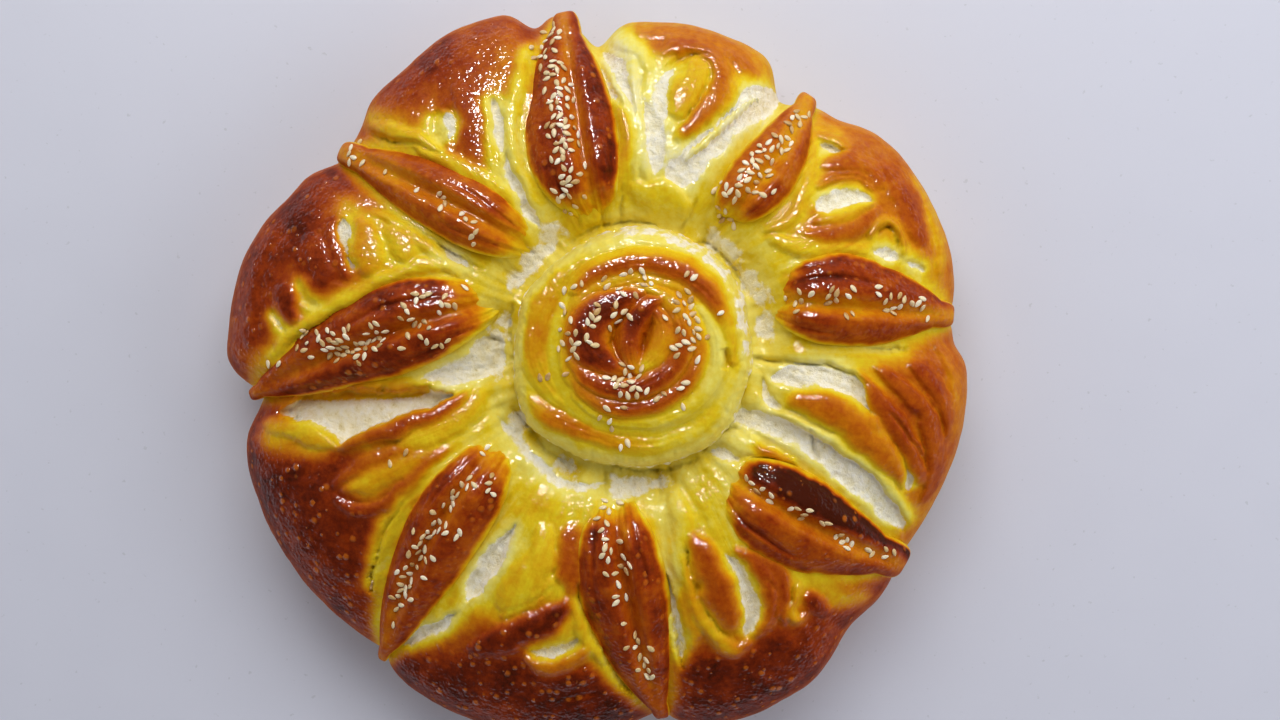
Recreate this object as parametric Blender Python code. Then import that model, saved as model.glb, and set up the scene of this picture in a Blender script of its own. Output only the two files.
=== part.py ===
"""Festive pogaca: a round soft loaf of eight lobes, with eight sesame leaves round a rolled rose, baked into one piece.

Metres, +Z up. The loaf stands on the plane z = 0, with the middle of its box over the origin.
The tables below are in millimetres. Angles are in degrees, counted anticlockwise from +X.
"""

import math
import random

import bmesh
import bpy
from mathutils import Matrix, Vector
from mathutils.bvhtree import BVHTree

MM = 0.001

# The loaf's body
RIM_HEIGHT = 25.0  # height of the widest line
CROWN_HEIGHT = 56.0  # height of the grooves between the lobes, at the middle
LOBE_PUFF = 6.0  # how far a lobe stands above its grooves
FOOT_INSET = 13.0  # how far the flat underside lies inside the widest line
BODY_SEGMENTS = 72
BODY_RINGS = 18

# The rolled rose in the middle
ROSE_CENTRE = (13.5, 8.0)
COLLAR_RADIUS = 39.5
COLLAR_TUBE = 10.5
COLLAR_TOP = 64.0
COIL_CENTRE = (18.5, 6.5)
COIL_RADIUS = (28.0, 25.5)
COIL_TOP = 75.0
COIL_FALL = 6.5  # how far the coil's outer turn lies below its middle
COIL_START = -20.0  # where on the circle the outer turn begins
COIL_TURNS = 2.2
ROPE_RADIUS = 5.0

# The torn ring between the rose and the leaves
TRENCH_RADIUS = 44.0
TRENCH_WIDTH = 6.5
TRENCH_DEPTH = 9.0

# One row for each lobe: the angle and radius of its furthest point
LOBES = [
    (26, 129.0),
    (71, 124.0),
    (111, 128.5),
    (168, 131.5),
    (204, 129.0),
    (248, 131.0),
    (299, 132.0),
    (355, 128.0),
]

# Nicks in the outline beside leaf tips: middle and half-width in degrees, and depth, below 0 for a bulge
NICKS = [
    (4.5, 2.5, 2.2),
    (46, 4, 3.0),
    (56, 3.5, 8.5),
    (83, 5, 1.6),
    (90, 3.2, 10.0),
    (100.5, 2.6, 6.0),
    (123, 6, 2.0),
    (134.5, 3, 1.8),
    (146, 3.5, -2.2),
    (179, 4, -4.0),
    (186, 3.5, 3.2),
    (314.5, 6, 5.0),
]

# One row for each leaf: root, tip, half-widths left and right of the crease seen from the root, the crease's
# sideways bow, the tip's half-width, and how many seeds lie on it
LEAVES = {
    "east": ((60, 24), (122, 19), 18, 13.5, 0, 5, 10),
    "north_east": ((44, 50), (73, 94), 11.5, 10.5, -3.5, 4, 16),
    "north": ((3, 48), (-11, 123), 20, 12.5, 0, 5, 24),
    "north_west": ((-20, 42), (-89, 76), 12, 12, -1.5, 5, 6),
    "west": ((-32, 24), (-121, -9), 14, 17, -2, 3, 16),
    "south_west": ((-28, -26), (-75, -101), 16, 11, -4, 2.5, 14),
    "south": ((8, -41), (23, -120), 13.5, 17, -1.5, 3.5, 9),
    "south_east": ((42, -31), (106, -66), 14.5, 18.5, -1.5, 6, 9),
}
LEAF_ROOT_HEIGHT = 58.0
LEAF_TIP_HEIGHT = 33.0
LEAF_TOP = 11.5  # a leaf's ridges over its spine
LEAF_UNDER = 9.0
CREASE_DEPTH = 5.0
CREASE_WIDTH = 2.6
LEAF_AROUND = 14
LEAF_ALONG = 10

# Slits that the oven opened in the lobes: middle, half-length, half-width, angle, depth, and the half-width of the
# island of crust that has risen inside, or 0
SLITS = {
    "nnw_eye": ((-49, 84), 7, 4.4, 62, 3.5, 0),
    "nnw_strip": ((-24, 72), 23, 4.2, -68, 5.5, 0),
    "nne_left": ((13, 86), 27, 6.7, -73, 5.0, 0),
    "nne_right": ((47, 80), 26, 6.3, -143, 5.0, 0),
    "ene_small": ((81, 75), 6, 2.4, -23, 3.5, 0),
    "ene_eye": ((86, 58), 13, 5.5, 11, 5.5, 0),
    "ene_low": ((99, 41), 8, 3.7, 3, 4.5, 0),
    "ese_eye": ((86, -16), 29, 12.5, -39, 8.0, 7.5),
    "ese_band": ((77, -38), 34, 5.2, -33, 5.0, 0),
    "sse_eye": ((45, -74), 20, 10.0, -75, 7.0, 6.5),
    "sse_small": ((68, -72), 9, 3.0, -74, 5.0, 0),
    "ssw_slit": ((-32, -64), 18, 4.2, -122, 7.0, 0),
    "ssw_crevice": ((-57, -91), 13, 3.0, -147, 6.0, 0),
    "ssw_low": ((-14, -94), 11, 3.6, 15, 5.0, 0),
    "wsw_pocket": ((-78, -13), 33, 8.5, 4, 13.0, 0),
    "wsw_groove": ((-74, -38), 13, 3.4, 18, 3.5, 0),
    "wnw_slit": ((-81, 44), 13, 3.2, -72, 5.0, 0),
    "wnw_nick": ((-95, 26), 7.5, 2.2, -53, 3.0, 0),
}

# Sesame
SEED_HALF = (1.65, 1.0, 0.55)
SEED_SPACING = 2.7
ROSE_SEEDS = 28
RANDOM_SEED = 11


def smooth_step(t):
    t = min(1.0, max(0.0, t))
    return t * t * (3.0 - 2.0 * t)


def leaf_angles():
    """The direction of each leaf's tip, in the order of the table, rising through one turn."""
    angles = [math.degrees(math.atan2(tip[1], tip[0])) for _, tip, *_ in LEAVES.values()]
    return sorted(angle % 360.0 for angle in angles)


def lobe_at(angle):
    """(notch before, notch after, share of the way between them) for an angle in degrees."""
    notches = leaf_angles()
    notches.append(notches[0] + 360.0)
    angle = (angle - notches[0]) % 360.0 + notches[0]
    for before, after in zip(notches, notches[1:]):
        if angle <= after:
            return before, after, (angle - before) / (after - before)
    raise ValueError(angle)


def notch_radius(angle):
    """The outline's radius where a leaf crosses it: just inside that leaf's tip."""
    tips = [tip for _, tip, *_ in LEAVES.values()]
    nearest = min(tips, key=lambda tip: abs((math.degrees(math.atan2(tip[1], tip[0])) - angle + 180) % 360 - 180))
    return math.hypot(*nearest) - 1.5


def outline_radius(angle):
    """The widest line's distance from the origin in millimetres."""
    before, after, share = lobe_at(angle)
    peak, reach = next(row for row in LOBES if 0 <= (row[0] - before) % 360.0 <= after - before)
    peak_share = ((peak - before) % 360.0) / (after - before)
    skewed = share ** (math.log(0.5) / math.log(peak_share))
    notch = notch_radius(before) * (1.0 - share) + notch_radius(after) * share
    nicked = sum(
        depth * math.exp(-((((angle - middle + 180.0) % 360.0 - 180.0) / half) ** 2)) for middle, half, depth in NICKS
    )
    return notch + (reach - notch) * (1.0 - abs(2.0 * skewed - 1.0) ** 2.6) - nicked


def loaf_place(angle, share):
    """The point in plan at a share of the way from the rose's centre to the outline."""
    radius = outline_radius(angle)
    turn = math.radians(angle)
    x = ROSE_CENTRE[0] * (1.0 - share) + radius * math.cos(turn) * share
    y = ROSE_CENTRE[1] * (1.0 - share) + radius * math.sin(turn) * share
    return x, y


def loaf_share(x, y):
    """(angle, share) of a point in plan, the inverse of loaf_place."""
    share = math.hypot(x, y) / 125.0
    for _ in range(12):
        dx = x - ROSE_CENTRE[0] * (1.0 - share)
        dy = y - ROSE_CENTRE[1] * (1.0 - share)
        angle = math.degrees(math.atan2(dy, dx))
        share = math.hypot(dx, dy) / outline_radius(angle)
    return angle, share


def body_height(angle, share):
    """Height of the body's top, before anything is cut in it."""
    dome = max(0.0, 1.0 - share**3.0) ** 0.556
    _, _, across = lobe_at(angle)
    cushion = 1.0 - abs(2.0 * across - 1.0) ** 2.4
    puff = LOBE_PUFF * cushion * smooth_step((share - 0.3) / 0.3) * dome**0.5
    x, y = loaf_place(angle, share)
    from_rose = math.hypot(x - ROSE_CENTRE[0], y - ROSE_CENTRE[1])
    trench = TRENCH_DEPTH * math.exp(-(((from_rose - TRENCH_RADIUS) / TRENCH_WIDTH) ** 2))
    return RIM_HEIGHT + (CROWN_HEIGHT - RIM_HEIGHT) * dome + puff - trench


def top_point(x, y):
    """The point of the body's top over a place in plan, in millimetres."""
    return Vector((x, y, body_height(*loaf_share(x, y))))


def new_object(name, mesh, collection):
    made = bpy.data.objects.new(name, mesh)
    collection.objects.link(made)
    return made


def ball_mesh(name, around, along):
    """A unit sphere whose poles are on Z."""
    shape = bmesh.new()
    bmesh.ops.create_uvsphere(shape, u_segments=around, v_segments=along, radius=1.0)
    mesh = bpy.data.meshes.new(name)
    shape.to_mesh(mesh)
    shape.free()
    return mesh


def make_body(collection):
    """A sphere drawn out to the lobed outline, with a domed top and a flat foot."""
    mesh = ball_mesh("body", BODY_SEGMENTS, BODY_RINGS)
    for vertex in mesh.vertices:
        angle = math.degrees(math.atan2(vertex.co.y, vertex.co.x))
        level = min(1.0, math.hypot(vertex.co.x, vertex.co.y))
        if vertex.co.z >= -1e-6:
            share = level**0.8
            x, y = loaf_place(angle, share)
            z = body_height(angle, share)
        else:
            drop = min(1.0, 1.35 * -vertex.co.z)
            inset = FOOT_INSET * drop**2
            outer = max(0.0, level if drop == 1.0 else 1.0)
            radius = (outline_radius(angle) - inset) * outer
            x = radius * math.cos(math.radians(angle))
            y = radius * math.sin(math.radians(angle))
            z = RIM_HEIGHT * (1.0 - drop)
        vertex.co = Vector((x, y, z)) * MM
    return new_object("loaf", mesh, collection)


def leaf_point(row, along, turn):
    """A point of a leaf's skin: along runs from 0 at the root to 1 at the tip, turn goes round the spine."""
    root, tip, left, right, bow, blunt, _ = row
    root, tip = Vector(root), Vector(tip)
    run = (tip - root).normalized()
    side = Vector((-run.y, run.x))
    spine = root.lerp(tip, along) + side * bow * math.sin(math.pi * along)
    across = math.cos(turn)
    widest = 0.36
    if along < widest:
        swell = 0.55 + 0.45 * math.sin(0.5 * math.pi * along / widest)
    else:
        swell = math.cos(0.5 * math.pi * (along - widest) / (1.0 - widest)) ** 0.8
    half = left if across > 0 else right
    offset = across * max(blunt, half * swell)
    closing = math.sqrt(max(0.0, 1.0 - abs(2.0 * along - 1.0) ** 6))
    lift = math.sin(turn)
    if lift > 0:
        ridge = LEAF_TOP * lift**0.75 * (0.55 + 0.45 * swell)
        crease = CREASE_DEPTH * math.exp(-((offset / CREASE_WIDTH) ** 2)) * swell
        rise = ridge - crease
    else:
        rise = LEAF_UNDER * lift
    place = spine + side * offset * (0.35 + 0.65 * closing)
    height = LEAF_ROOT_HEIGHT + (LEAF_TIP_HEIGHT - LEAF_ROOT_HEIGHT) * along**1.6
    return Vector((place.x, place.y, height + rise * closing))


def make_leaf(name, row, collection):
    """A sphere drawn out along the leaf's spine, with a crease between two ridges."""
    mesh = ball_mesh(name, LEAF_AROUND, LEAF_ALONG)
    for vertex in mesh.vertices:
        along = 0.5 - math.asin(max(-1.0, min(1.0, vertex.co.z))) / math.pi
        turn = math.atan2(vertex.co.y, vertex.co.x)
        vertex.co = leaf_point(row, along, turn) * MM
    return new_object("leaf_" + name, mesh, collection)


def coil_point(turns):
    """A point of the rose's spiral, so many turns in from its outer end."""
    out = 1.0 - turns / (COIL_TURNS + 0.35)
    angle = math.radians(COIL_START) + 2.0 * math.pi * turns
    x = COIL_CENTRE[0] + (COIL_RADIUS[0] - ROPE_RADIUS) * out * math.cos(angle)
    y = COIL_CENTRE[1] + (COIL_RADIUS[1] - ROPE_RADIUS) * out * math.sin(angle)
    z = COIL_TOP - ROPE_RADIUS - COIL_FALL * out**2.5
    return Vector((x, y, z)) * MM


def make_rose(collection):
    """The collar, the domed bun on it, and the rolled rope that winds in to the bun's middle."""
    bpy.ops.mesh.primitive_torus_add(
        major_radius=(COLLAR_RADIUS - COLLAR_TUBE) * MM,
        minor_radius=COLLAR_TUBE * MM,
        major_segments=30,
        minor_segments=8,
        location=(ROSE_CENTRE[0] * MM, ROSE_CENTRE[1] * MM, (COLLAR_TOP - COLLAR_TUBE) * MM),
    )
    collar = bpy.context.object
    collar.name = "rose_collar"
    move_to(collar, collection)

    mesh = ball_mesh("rose_bun", 24, 10)
    bun = new_object("rose_bun", mesh, collection)
    bun.location = (COIL_CENTRE[0] * MM, COIL_CENTRE[1] * MM, (COLLAR_TOP - 6.0) * MM)
    bun.scale = (COIL_RADIUS[0] * MM, COIL_RADIUS[1] * MM, (COIL_TOP - COLLAR_TOP + 3.0) * MM)

    path = bpy.data.curves.new("rose_rope", "CURVE")
    path.dimensions = "3D"
    path.bevel_depth = ROPE_RADIUS * MM
    path.bevel_resolution = 1
    path.use_fill_caps = True
    count = int(COIL_TURNS * 15)
    line = path.splines.new("POLY")
    line.points.add(count)
    for number, point in enumerate(line.points):
        point.co = (*coil_point(COIL_TURNS * number / count), 1.0)
    rope = mesh_of(new_object("rose_rope_curve", path, collection), "rose_rope", collection)
    return [collar, bun, rope]


def move_to(made, collection):
    for other in list(made.users_collection):
        other.objects.unlink(made)
    collection.objects.link(made)


def mesh_of(curve, name, collection):
    """The curve's tube as a closed mesh object of its own. The curve is removed."""
    bpy.context.view_layer.update()
    graph = bpy.context.evaluated_depsgraph_get()
    mesh = bpy.data.meshes.new_from_object(curve.evaluated_get(graph))
    shape = bmesh.new()
    shape.from_mesh(mesh)
    bmesh.ops.remove_doubles(shape, verts=shape.verts, dist=0.00001)
    shape.to_mesh(mesh)
    shape.free()
    made = new_object(name, mesh, collection)
    made.matrix_world = curve.matrix_world
    bpy.data.objects.remove(curve)
    return made


def slit_frame(middle, half_length, angle):
    """The matrix whose X lies along the slit and whose Z is the surface's normal there, in metres."""
    turn = math.radians(angle)
    run = Vector((math.cos(turn), math.sin(turn)))
    side = Vector((-run.y, run.x))
    middle = Vector(middle)
    ends = [top_point(*(middle + run * step)) for step in (-0.8 * half_length, 0.8 * half_length)]
    sides = [top_point(*(middle + side * step)) for step in (-3.0, 3.0)]
    along = (ends[1] - ends[0]).normalized()
    up = along.cross(sides[1] - sides[0]).normalized()
    across = up.cross(along)
    place = top_point(*middle)
    frame = Matrix((along, across, up)).transposed().to_4x4()
    frame.translation = place * MM
    return frame


def make_slit(name, row, cutters, islands):
    """An ellipsoid that carves one slit and, where crust has risen inside, an ellipsoid that fills its middle."""
    middle, half_length, half_width, angle, depth, island = row
    frame = slit_frame(middle, half_length, angle)
    cutter = new_object("slit_" + name, ball_mesh("slit_" + name, 12, 6), cutters)
    cutter.matrix_world = frame @ Matrix.Diagonal((half_length * MM, half_width * MM, depth * MM, 1.0))
    cutter.hide_render = True
    cutter.display_type = "WIRE"
    if island:
        filled = new_object("island_" + name, ball_mesh("island_" + name, 10, 6), islands)
        size = Matrix.Diagonal((half_length * 0.72 * MM, island * MM, depth * 1.2 * MM, 1.0))
        filled.matrix_world = frame @ Matrix.Translation((0, 0, -depth * 0.6 * MM)) @ size


def apply_boolean(made, collection, operation, solver="EXACT"):
    """One Boolean with a whole collection, applied. The collection's objects are then removed."""
    modifier = made.modifiers.new(operation.lower(), "BOOLEAN")
    modifier.operand_type = "COLLECTION"
    modifier.collection = collection
    modifier.operation = operation
    modifier.solver = solver
    bpy.context.view_layer.update()
    graph = bpy.context.evaluated_depsgraph_get()
    mesh = bpy.data.meshes.new_from_object(made.evaluated_get(graph))
    made.modifiers.clear()
    made.data = mesh
    for other in list(collection.objects):
        bpy.data.objects.remove(other)


def seed_places():
    """Places in plan where seeds lie: along each leaf's crease, and in drifts on the rose."""
    draw = random.Random(RANDOM_SEED)
    places = []

    def offer(x, y):
        if all(math.hypot(x - a, y - b) > SEED_SPACING for a, b in places):
            places.append((x, y))
            return True
        return False

    for row in LEAVES.values():
        root, tip, _, _, bow, _, wanted = row
        root, tip = Vector(root), Vector(tip)
        run = (tip - root).normalized()
        side = Vector((-run.y, run.x))
        laid = 0
        while laid < wanted:
            along = draw.uniform(0.12, 0.93)
            spread = 2.6 * (1.15 - along)
            place = root.lerp(tip, along) + side * (bow * math.sin(math.pi * along) + draw.gauss(0.0, spread))
            laid += offer(*place)
    laid = 0
    while laid < ROSE_SEEDS:
        distance = COIL_RADIUS[1] * math.sqrt(draw.uniform(0.05, 1.6))
        turn = draw.uniform(0.0, 2.0 * math.pi)
        laid += offer(COIL_CENTRE[0] + distance * math.cos(turn), COIL_CENTRE[1] + distance * math.sin(turn))
    return places


def make_seeds(loaf, collection):
    """Sesame seeds half sunk in the crust, each turned to lie flat on it."""
    draw = random.Random(RANDOM_SEED + 1)
    graph = bpy.context.evaluated_depsgraph_get()
    skin = BVHTree.FromObject(loaf, graph)
    for number, (x, y) in enumerate(seed_places()):
        spot, normal, _, _ = skin.ray_cast(Vector((x * MM, y * MM, 0.2)), Vector((0, 0, -1)))
        shape = bmesh.new()
        bmesh.ops.create_icosphere(shape, subdivisions=1, radius=1.0)
        for vertex in shape.verts:
            pinch = 1.0 - 0.35 * max(0.0, vertex.co.x)
            vertex.co.y *= pinch
            vertex.co.x *= 1.0 + 0.12 * max(0.0, vertex.co.x)
        mesh = bpy.data.meshes.new(f"seed_{number:03d}")
        shape.to_mesh(mesh)
        shape.free()
        seed = new_object(f"seed_{number:03d}", mesh, collection)
        flat = normal.to_track_quat("Z", "Y").to_matrix().to_4x4()
        spin = Matrix.Rotation(draw.uniform(0.0, 2.0 * math.pi), 4, "Z")
        size = Matrix.Diagonal((*[half * MM for half in SEED_HALF], 1.0))
        seed.matrix_world = Matrix.Translation(spot + normal * 0.0001) @ flat @ spin @ size


def centre_over_origin(loaf):
    """Moves the mesh in plan until the middle of its box is over the origin."""
    for axis in (0, 1):
        reach = [vertex.co[axis] for vertex in loaf.data.vertices]
        middle = 0.5 * (min(reach) + max(reach))
        for vertex in loaf.data.vertices:
            vertex.co[axis] -= middle


def crust_material():
    material = bpy.data.materials.new("golden_crust")
    material.use_nodes = True
    shader = material.node_tree.nodes["Principled BSDF"]
    shader.inputs["Base Color"].default_value = (0.36, 0.11, 0.008, 1.0)
    shader.inputs["Roughness"].default_value = 0.35
    shader.inputs["Metallic"].default_value = 0.0
    return material


def new_collection(name, parent):
    made = bpy.data.collections.new(name)
    parent.children.link(made)
    return made


def main():
    for other in list(bpy.data.objects):
        bpy.data.objects.remove(other)
    root = bpy.context.scene.collection
    pogaca = new_collection("pogaca", root)
    cutters = new_collection("cutters", root)
    dough = new_collection("dough", root)
    sesame = new_collection("sesame", root)

    loaf = make_body(pogaca)
    for name, row in SLITS.items():
        make_slit(name, row, cutters, dough)
    apply_boolean(loaf, cutters, "DIFFERENCE")
    for name, row in LEAVES.items():
        make_leaf(name, row, dough)
    make_rose(dough)
    apply_boolean(loaf, dough, "UNION")
    bpy.context.view_layer.update()
    make_seeds(loaf, sesame)
    apply_boolean(loaf, sesame, "UNION", "MANIFOLD")
    centre_over_origin(loaf)
    loaf.data.materials.clear()
    loaf.data.materials.append(crust_material())


main()
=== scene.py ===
"""Looks of the festive pogaca: a glazed lobed body with torn slits, eight sesame leaves and a rolled rose.

Metres, +Z up, in the frame of part.py. The tables are in millimetres in plan, seen from above with +Y up
the photo, and their origin is the middle of the loaf's outline. Bake runs from 0, pale dough, over 0.33,
yolk yellow, to 1, dark brown.
"""

import math
import random

import bpy
import numpy as np
from mathutils import Matrix, Vector
from mathutils.bvhtree import BVHTree


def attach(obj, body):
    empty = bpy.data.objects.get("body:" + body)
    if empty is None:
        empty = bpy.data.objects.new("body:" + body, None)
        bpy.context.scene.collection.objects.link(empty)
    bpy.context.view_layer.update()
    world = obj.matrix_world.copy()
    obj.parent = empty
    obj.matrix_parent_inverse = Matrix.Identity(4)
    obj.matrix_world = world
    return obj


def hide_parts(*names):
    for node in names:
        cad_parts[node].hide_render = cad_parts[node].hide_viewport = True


MM = 0.001
SHIFT = (1.79, 2.39)  # part.py moves the loaf so far in plan to bring its box's middle over the origin

# The loaf's body, as in part.py
RIM_HEIGHT = 25.0
CROWN_HEIGHT = 56.0
LOBE_PUFF = 6.0
FOOT_INSET = 13.0
ROSE_CENTRE = (13.5, 8.0)
COLLAR_RADIUS = 39.5
COLLAR_TUBE = 10.5
TRENCH_RADIUS = 44.0
TRENCH_WIDTH = 6.5
TRENCH_DEPTH = 9.0

# One row for each lobe: the angle of its middle, how far it reaches, its bake, and the share of the way out
# from the rose at which it browns
LOBES = [
    (26, 129.0, 0.72, 0.46), (71, 124.0, 0.6, 0.8), (111, 128.5, 0.82, 0.38), (168, 131.5, 0.86, 0.46),
    (204, 129.0, 0.9, 0.46), (248, 131.0, 0.93, 0.62), (299, 132.0, 0.92, 0.6), (355, 128.0, 0.76, 0.62),
]

# Nicks in the outline: angle and half-width in degrees, and depth, which is below 0 for a bulge
NICKS = [
    (4.5, 2.5, 2.2), (46, 4, 3.0), (56, 3.5, 8.5), (83, 5, 1.6), (90, 3.2, 10.0), (100.5, 2.6, 6.0),
    (123, 6, 2.0), (134.5, 3, 1.8), (146, 3.5, -2.2), (179, 4, -3.2), (186, 3.5, 3.2), (314.5, 6, 5.0),
]

# One row for each leaf: root, tip, half-widths left and right of the crease seen from the root, the
# crease's sideways bow, the tip's half-width, and the bake of the left ridge, the right ridge and the crease
LEAVES = {
    "east": ((60, 24), (122, 19), 18, 13.5, 0, 5, 0.88, 0.82, 0.64),
    "north_east": ((44, 50), (73, 94), 11.5, 10.5, -3.5, 4, 0.76, 0.8, 0.6),
    "north": ((2, 52), (-11, 123), 20, 12.5, 0, 5, 0.86, 0.94, 0.72),
    "north_west": ((-20, 42), (-89, 76), 12, 12, -1.5, 5, 0.78, 0.78, 0.66),
    "west": ((-32, 24), (-121, -9), 14, 17, -2, 3, 0.92, 0.88, 0.76),
    "south_west": ((-30.5, -22), (-75, -101), 16, 11, -4, 2.5, 0.86, 0.87, 0.76),
    "south": ((8, -41), (23, -120), 13.5, 17, -1.5, 3.5, 0.87, 0.88, 0.8),
    "south_east": ((45, -32.5), (106, -66), 14.5, 18.5, -1.5, 7, 1.06, 0.84, 0.7),
}

# Fine fold lines on the leaves: side (1 left, -1 right), how far across, from and to along the leaf, depth
LEAF_LINES = {
    "west": ((-1, 0.5, 0.12, 0.52, 1.3), (1, 0.72, 0.05, 0.4, 0.8)),
    "east": ((1, 0.55, 0.04, 0.55, 1.5), (1, 0.8, 0.0, 0.35, 1.0), (-1, 0.7, 0.0, 0.35, 1.2)),
    "north": ((1, 0.6, 0.0, 0.3, 0.9), (-1, 0.75, 0.05, 0.4, 0.9)),
    "north_east": ((-1, 0.55, 0.0, 0.4, 1.0),),
    "north_west": ((-1, 0.5, 0.02, 0.45, 1.1), (1, 0.6, 0.0, 0.4, 1.0)),
    "south_west": ((-1, 0.5, 0.0, 0.35, 0.9), (1, 0.6, 0.0, 0.3, 1.0)),
    "south": ((1, 0.55, 0.0, 0.4, 0.9), (-1, 0.6, 0.05, 0.45, 0.9)),
    "south_east": ((-1, 0.62, 0.0, 0.5, 1.5), (1, 0.7, 0.0, 0.3, 0.9)),
}
LEAF_ROOT_HEIGHT = 58.0
LEAF_TIP_HEIGHT = 33.0
LEAF_TOP = 11.5
LEAF_UNDER = 9.0
CREASE_DEPTH = 5.0
CREASE_WIDTH = 2.6
LEAF_ALONG = 150
LEAF_OVER = 90
LEAF_BELOW = 26

# Soft patches of colour on the lobes, as (x, y, half-width, bake) along a line
PAINT = {
    "nnw_dark": ((-58, 107, 6, 0.93), (-53, 111.5, 5, 0.9)),
    "nnw_orange": ((-29.5, 111.5, 5, 0.66), (-30.5, 99, 4, 0.62)),
    "nnw_low_gold": ((-78, 87, 3.5, 0.46), (-67, 84.5, 3.5, 0.5), (-58, 78.5, 3.5, 0.46)),
    "nnw_eye_halo": ((-54, 90, 4, 0.7), (-56, 82, 4, 0.66), (-54, 76, 3.5, 0.56)),
    "wnw_dark": ((-102.5, 52, 6, 0.97), (-94, 42, 5, 0.93)),
    "wnw_gold": ((-83, 54.5, 6, 0.42), (-74.5, 47, 9, 0.42), (-63, 40, 7.5, 0.38)),
    "wnw_low": ((-116.5, 1.5, 5, 0.56), (-108, 6.5, 4, 0.46), (-97.5, 15, 3.5, 0.44)),
    "wsw_top": ((-113, -23.5, 4, 0.5), (-102.5, -26, 3.5, 0.52), (-91.5, -27, 3.5, 0.56)),
    "wsw_yellow": ((-76.5, -38.5, 5, 0.42), (-64.5, -30, 6, 0.4), (-51.5, -22, 6, 0.38)),
    "wsw_dark": ((-95.5, -45, 9, 0.95), (-86.5, -62, 8.5, 0.95)),
    "ssw_yellow": ((-18, -47, 6.5, 0.4), (-21, -61, 8.5, 0.38), (-29.5, -75.5, 6.5, 0.42)),
    "ssw_dark": ((-34.5, -95.5, 7.5, 0.95), (-18.5, -107, 10, 0.95), (-2, -112, 6.5, 0.93)),
    "sse_gold": ((34, -51, 5, 0.42), (39, -70.5, 11, 0.46), (47.5, -87, 6.5, 0.46)),
    "sse_right_gold": ((72, -70.5, 5, 0.42), (82, -75.5, 5, 0.46), (91, -77, 3.5, 0.5)),
    "sse_dark": ((41, -99, 9, 0.94), (57, -99, 10, 0.92), (72.5, -92, 6.5, 0.88)),
    "ese_gold": ((60, -8, 6, 0.34), (75, -19, 7, 0.38), (88, -31, 6, 0.38), (100, -43, 4, 0.42)),
    "ese_top_gold": ((98, 8, 4, 0.46), (106, 4, 3, 0.54)),
    "ese_low_gold": ((111, -45, 5, 0.62), (108, -50, 3.5, 0.5)),
    "ene_gold": ((76, 84.5, 3.5, 0.5), (81, 78.5, 3.5, 0.46), (76, 70.5, 3.5, 0.5)),
    "ene_low_gold": ((93, 43.5, 5, 0.42), (105.5, 38.5, 5, 0.42), (113.5, 32.5, 4, 0.46)),
    "ene_core": ((93, 74.5, 6.5, 0.72), (103.5, 63.5, 7.5, 0.74), (108, 50, 6.5, 0.74)),
    "nne_gold_all": ((7.5, 113, 6.5, 0.34), (19, 104.5, 6.5, 0.34), (36, 96.5, 10, 0.42),
        (48.5, 96.5, 6.5, 0.44)),
    "nne_brown": ((21, 111, 4, 0.8), (28, 112, 5.5, 0.86), (37, 112, 5.5, 0.74), (46, 107, 6, 0.66),
        (53.5, 100.5, 4, 0.6)),
}

# Stretched pale dough beside the tears, as in PAINT
PALE = {
    "nne": ((9, 104, 8, 0.08), (14, 88, 8, 0.08), (24, 74, 8, 0.08), (38, 78, 7, 0.08), (57, 91, 7, 0.1)),
    "ese": ((45, -15, 5, 0.12), (62, -17, 6, 0.08), (80, -27, 6, 0.1), (96, -42, 5, 0.14)),
    "ese_top": ((60, 0, 4, 0.16), (76, 0, 5, 0.12), (91, -7, 5, 0.14)),
    "west_flank": ((-58, -2, 4, 0.14), (-44, 1, 6, 0.1), (-33, 8, 5, 0.14)),
    "ssw": ((-25, -51, 3.5, 0.18), (-34, -65, 5.5, 0.12), (-43, -79, 4, 0.18), (-62, -92, 3.5, 0.2)),
    "nnw": ((-33, 90, 3.5, 0.16), (-27, 70, 4, 0.12), (-19, 51, 4, 0.14)),
    "east_root": ((49, 31, 5, 0.16), (56, 17, 7, 0.12), (54, 1, 6, 0.2)),
    "south_root": ((-24, -20, 5, 0.16), (-12, -31, 5, 0.14), (8, -34, 5, 0.14), (30, -34, 5, 0.22)),
    "ene": ((74, 74, 4, 0.18), (72, 62, 4, 0.22), (82, 58, 4, 0.12)),
}

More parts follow.
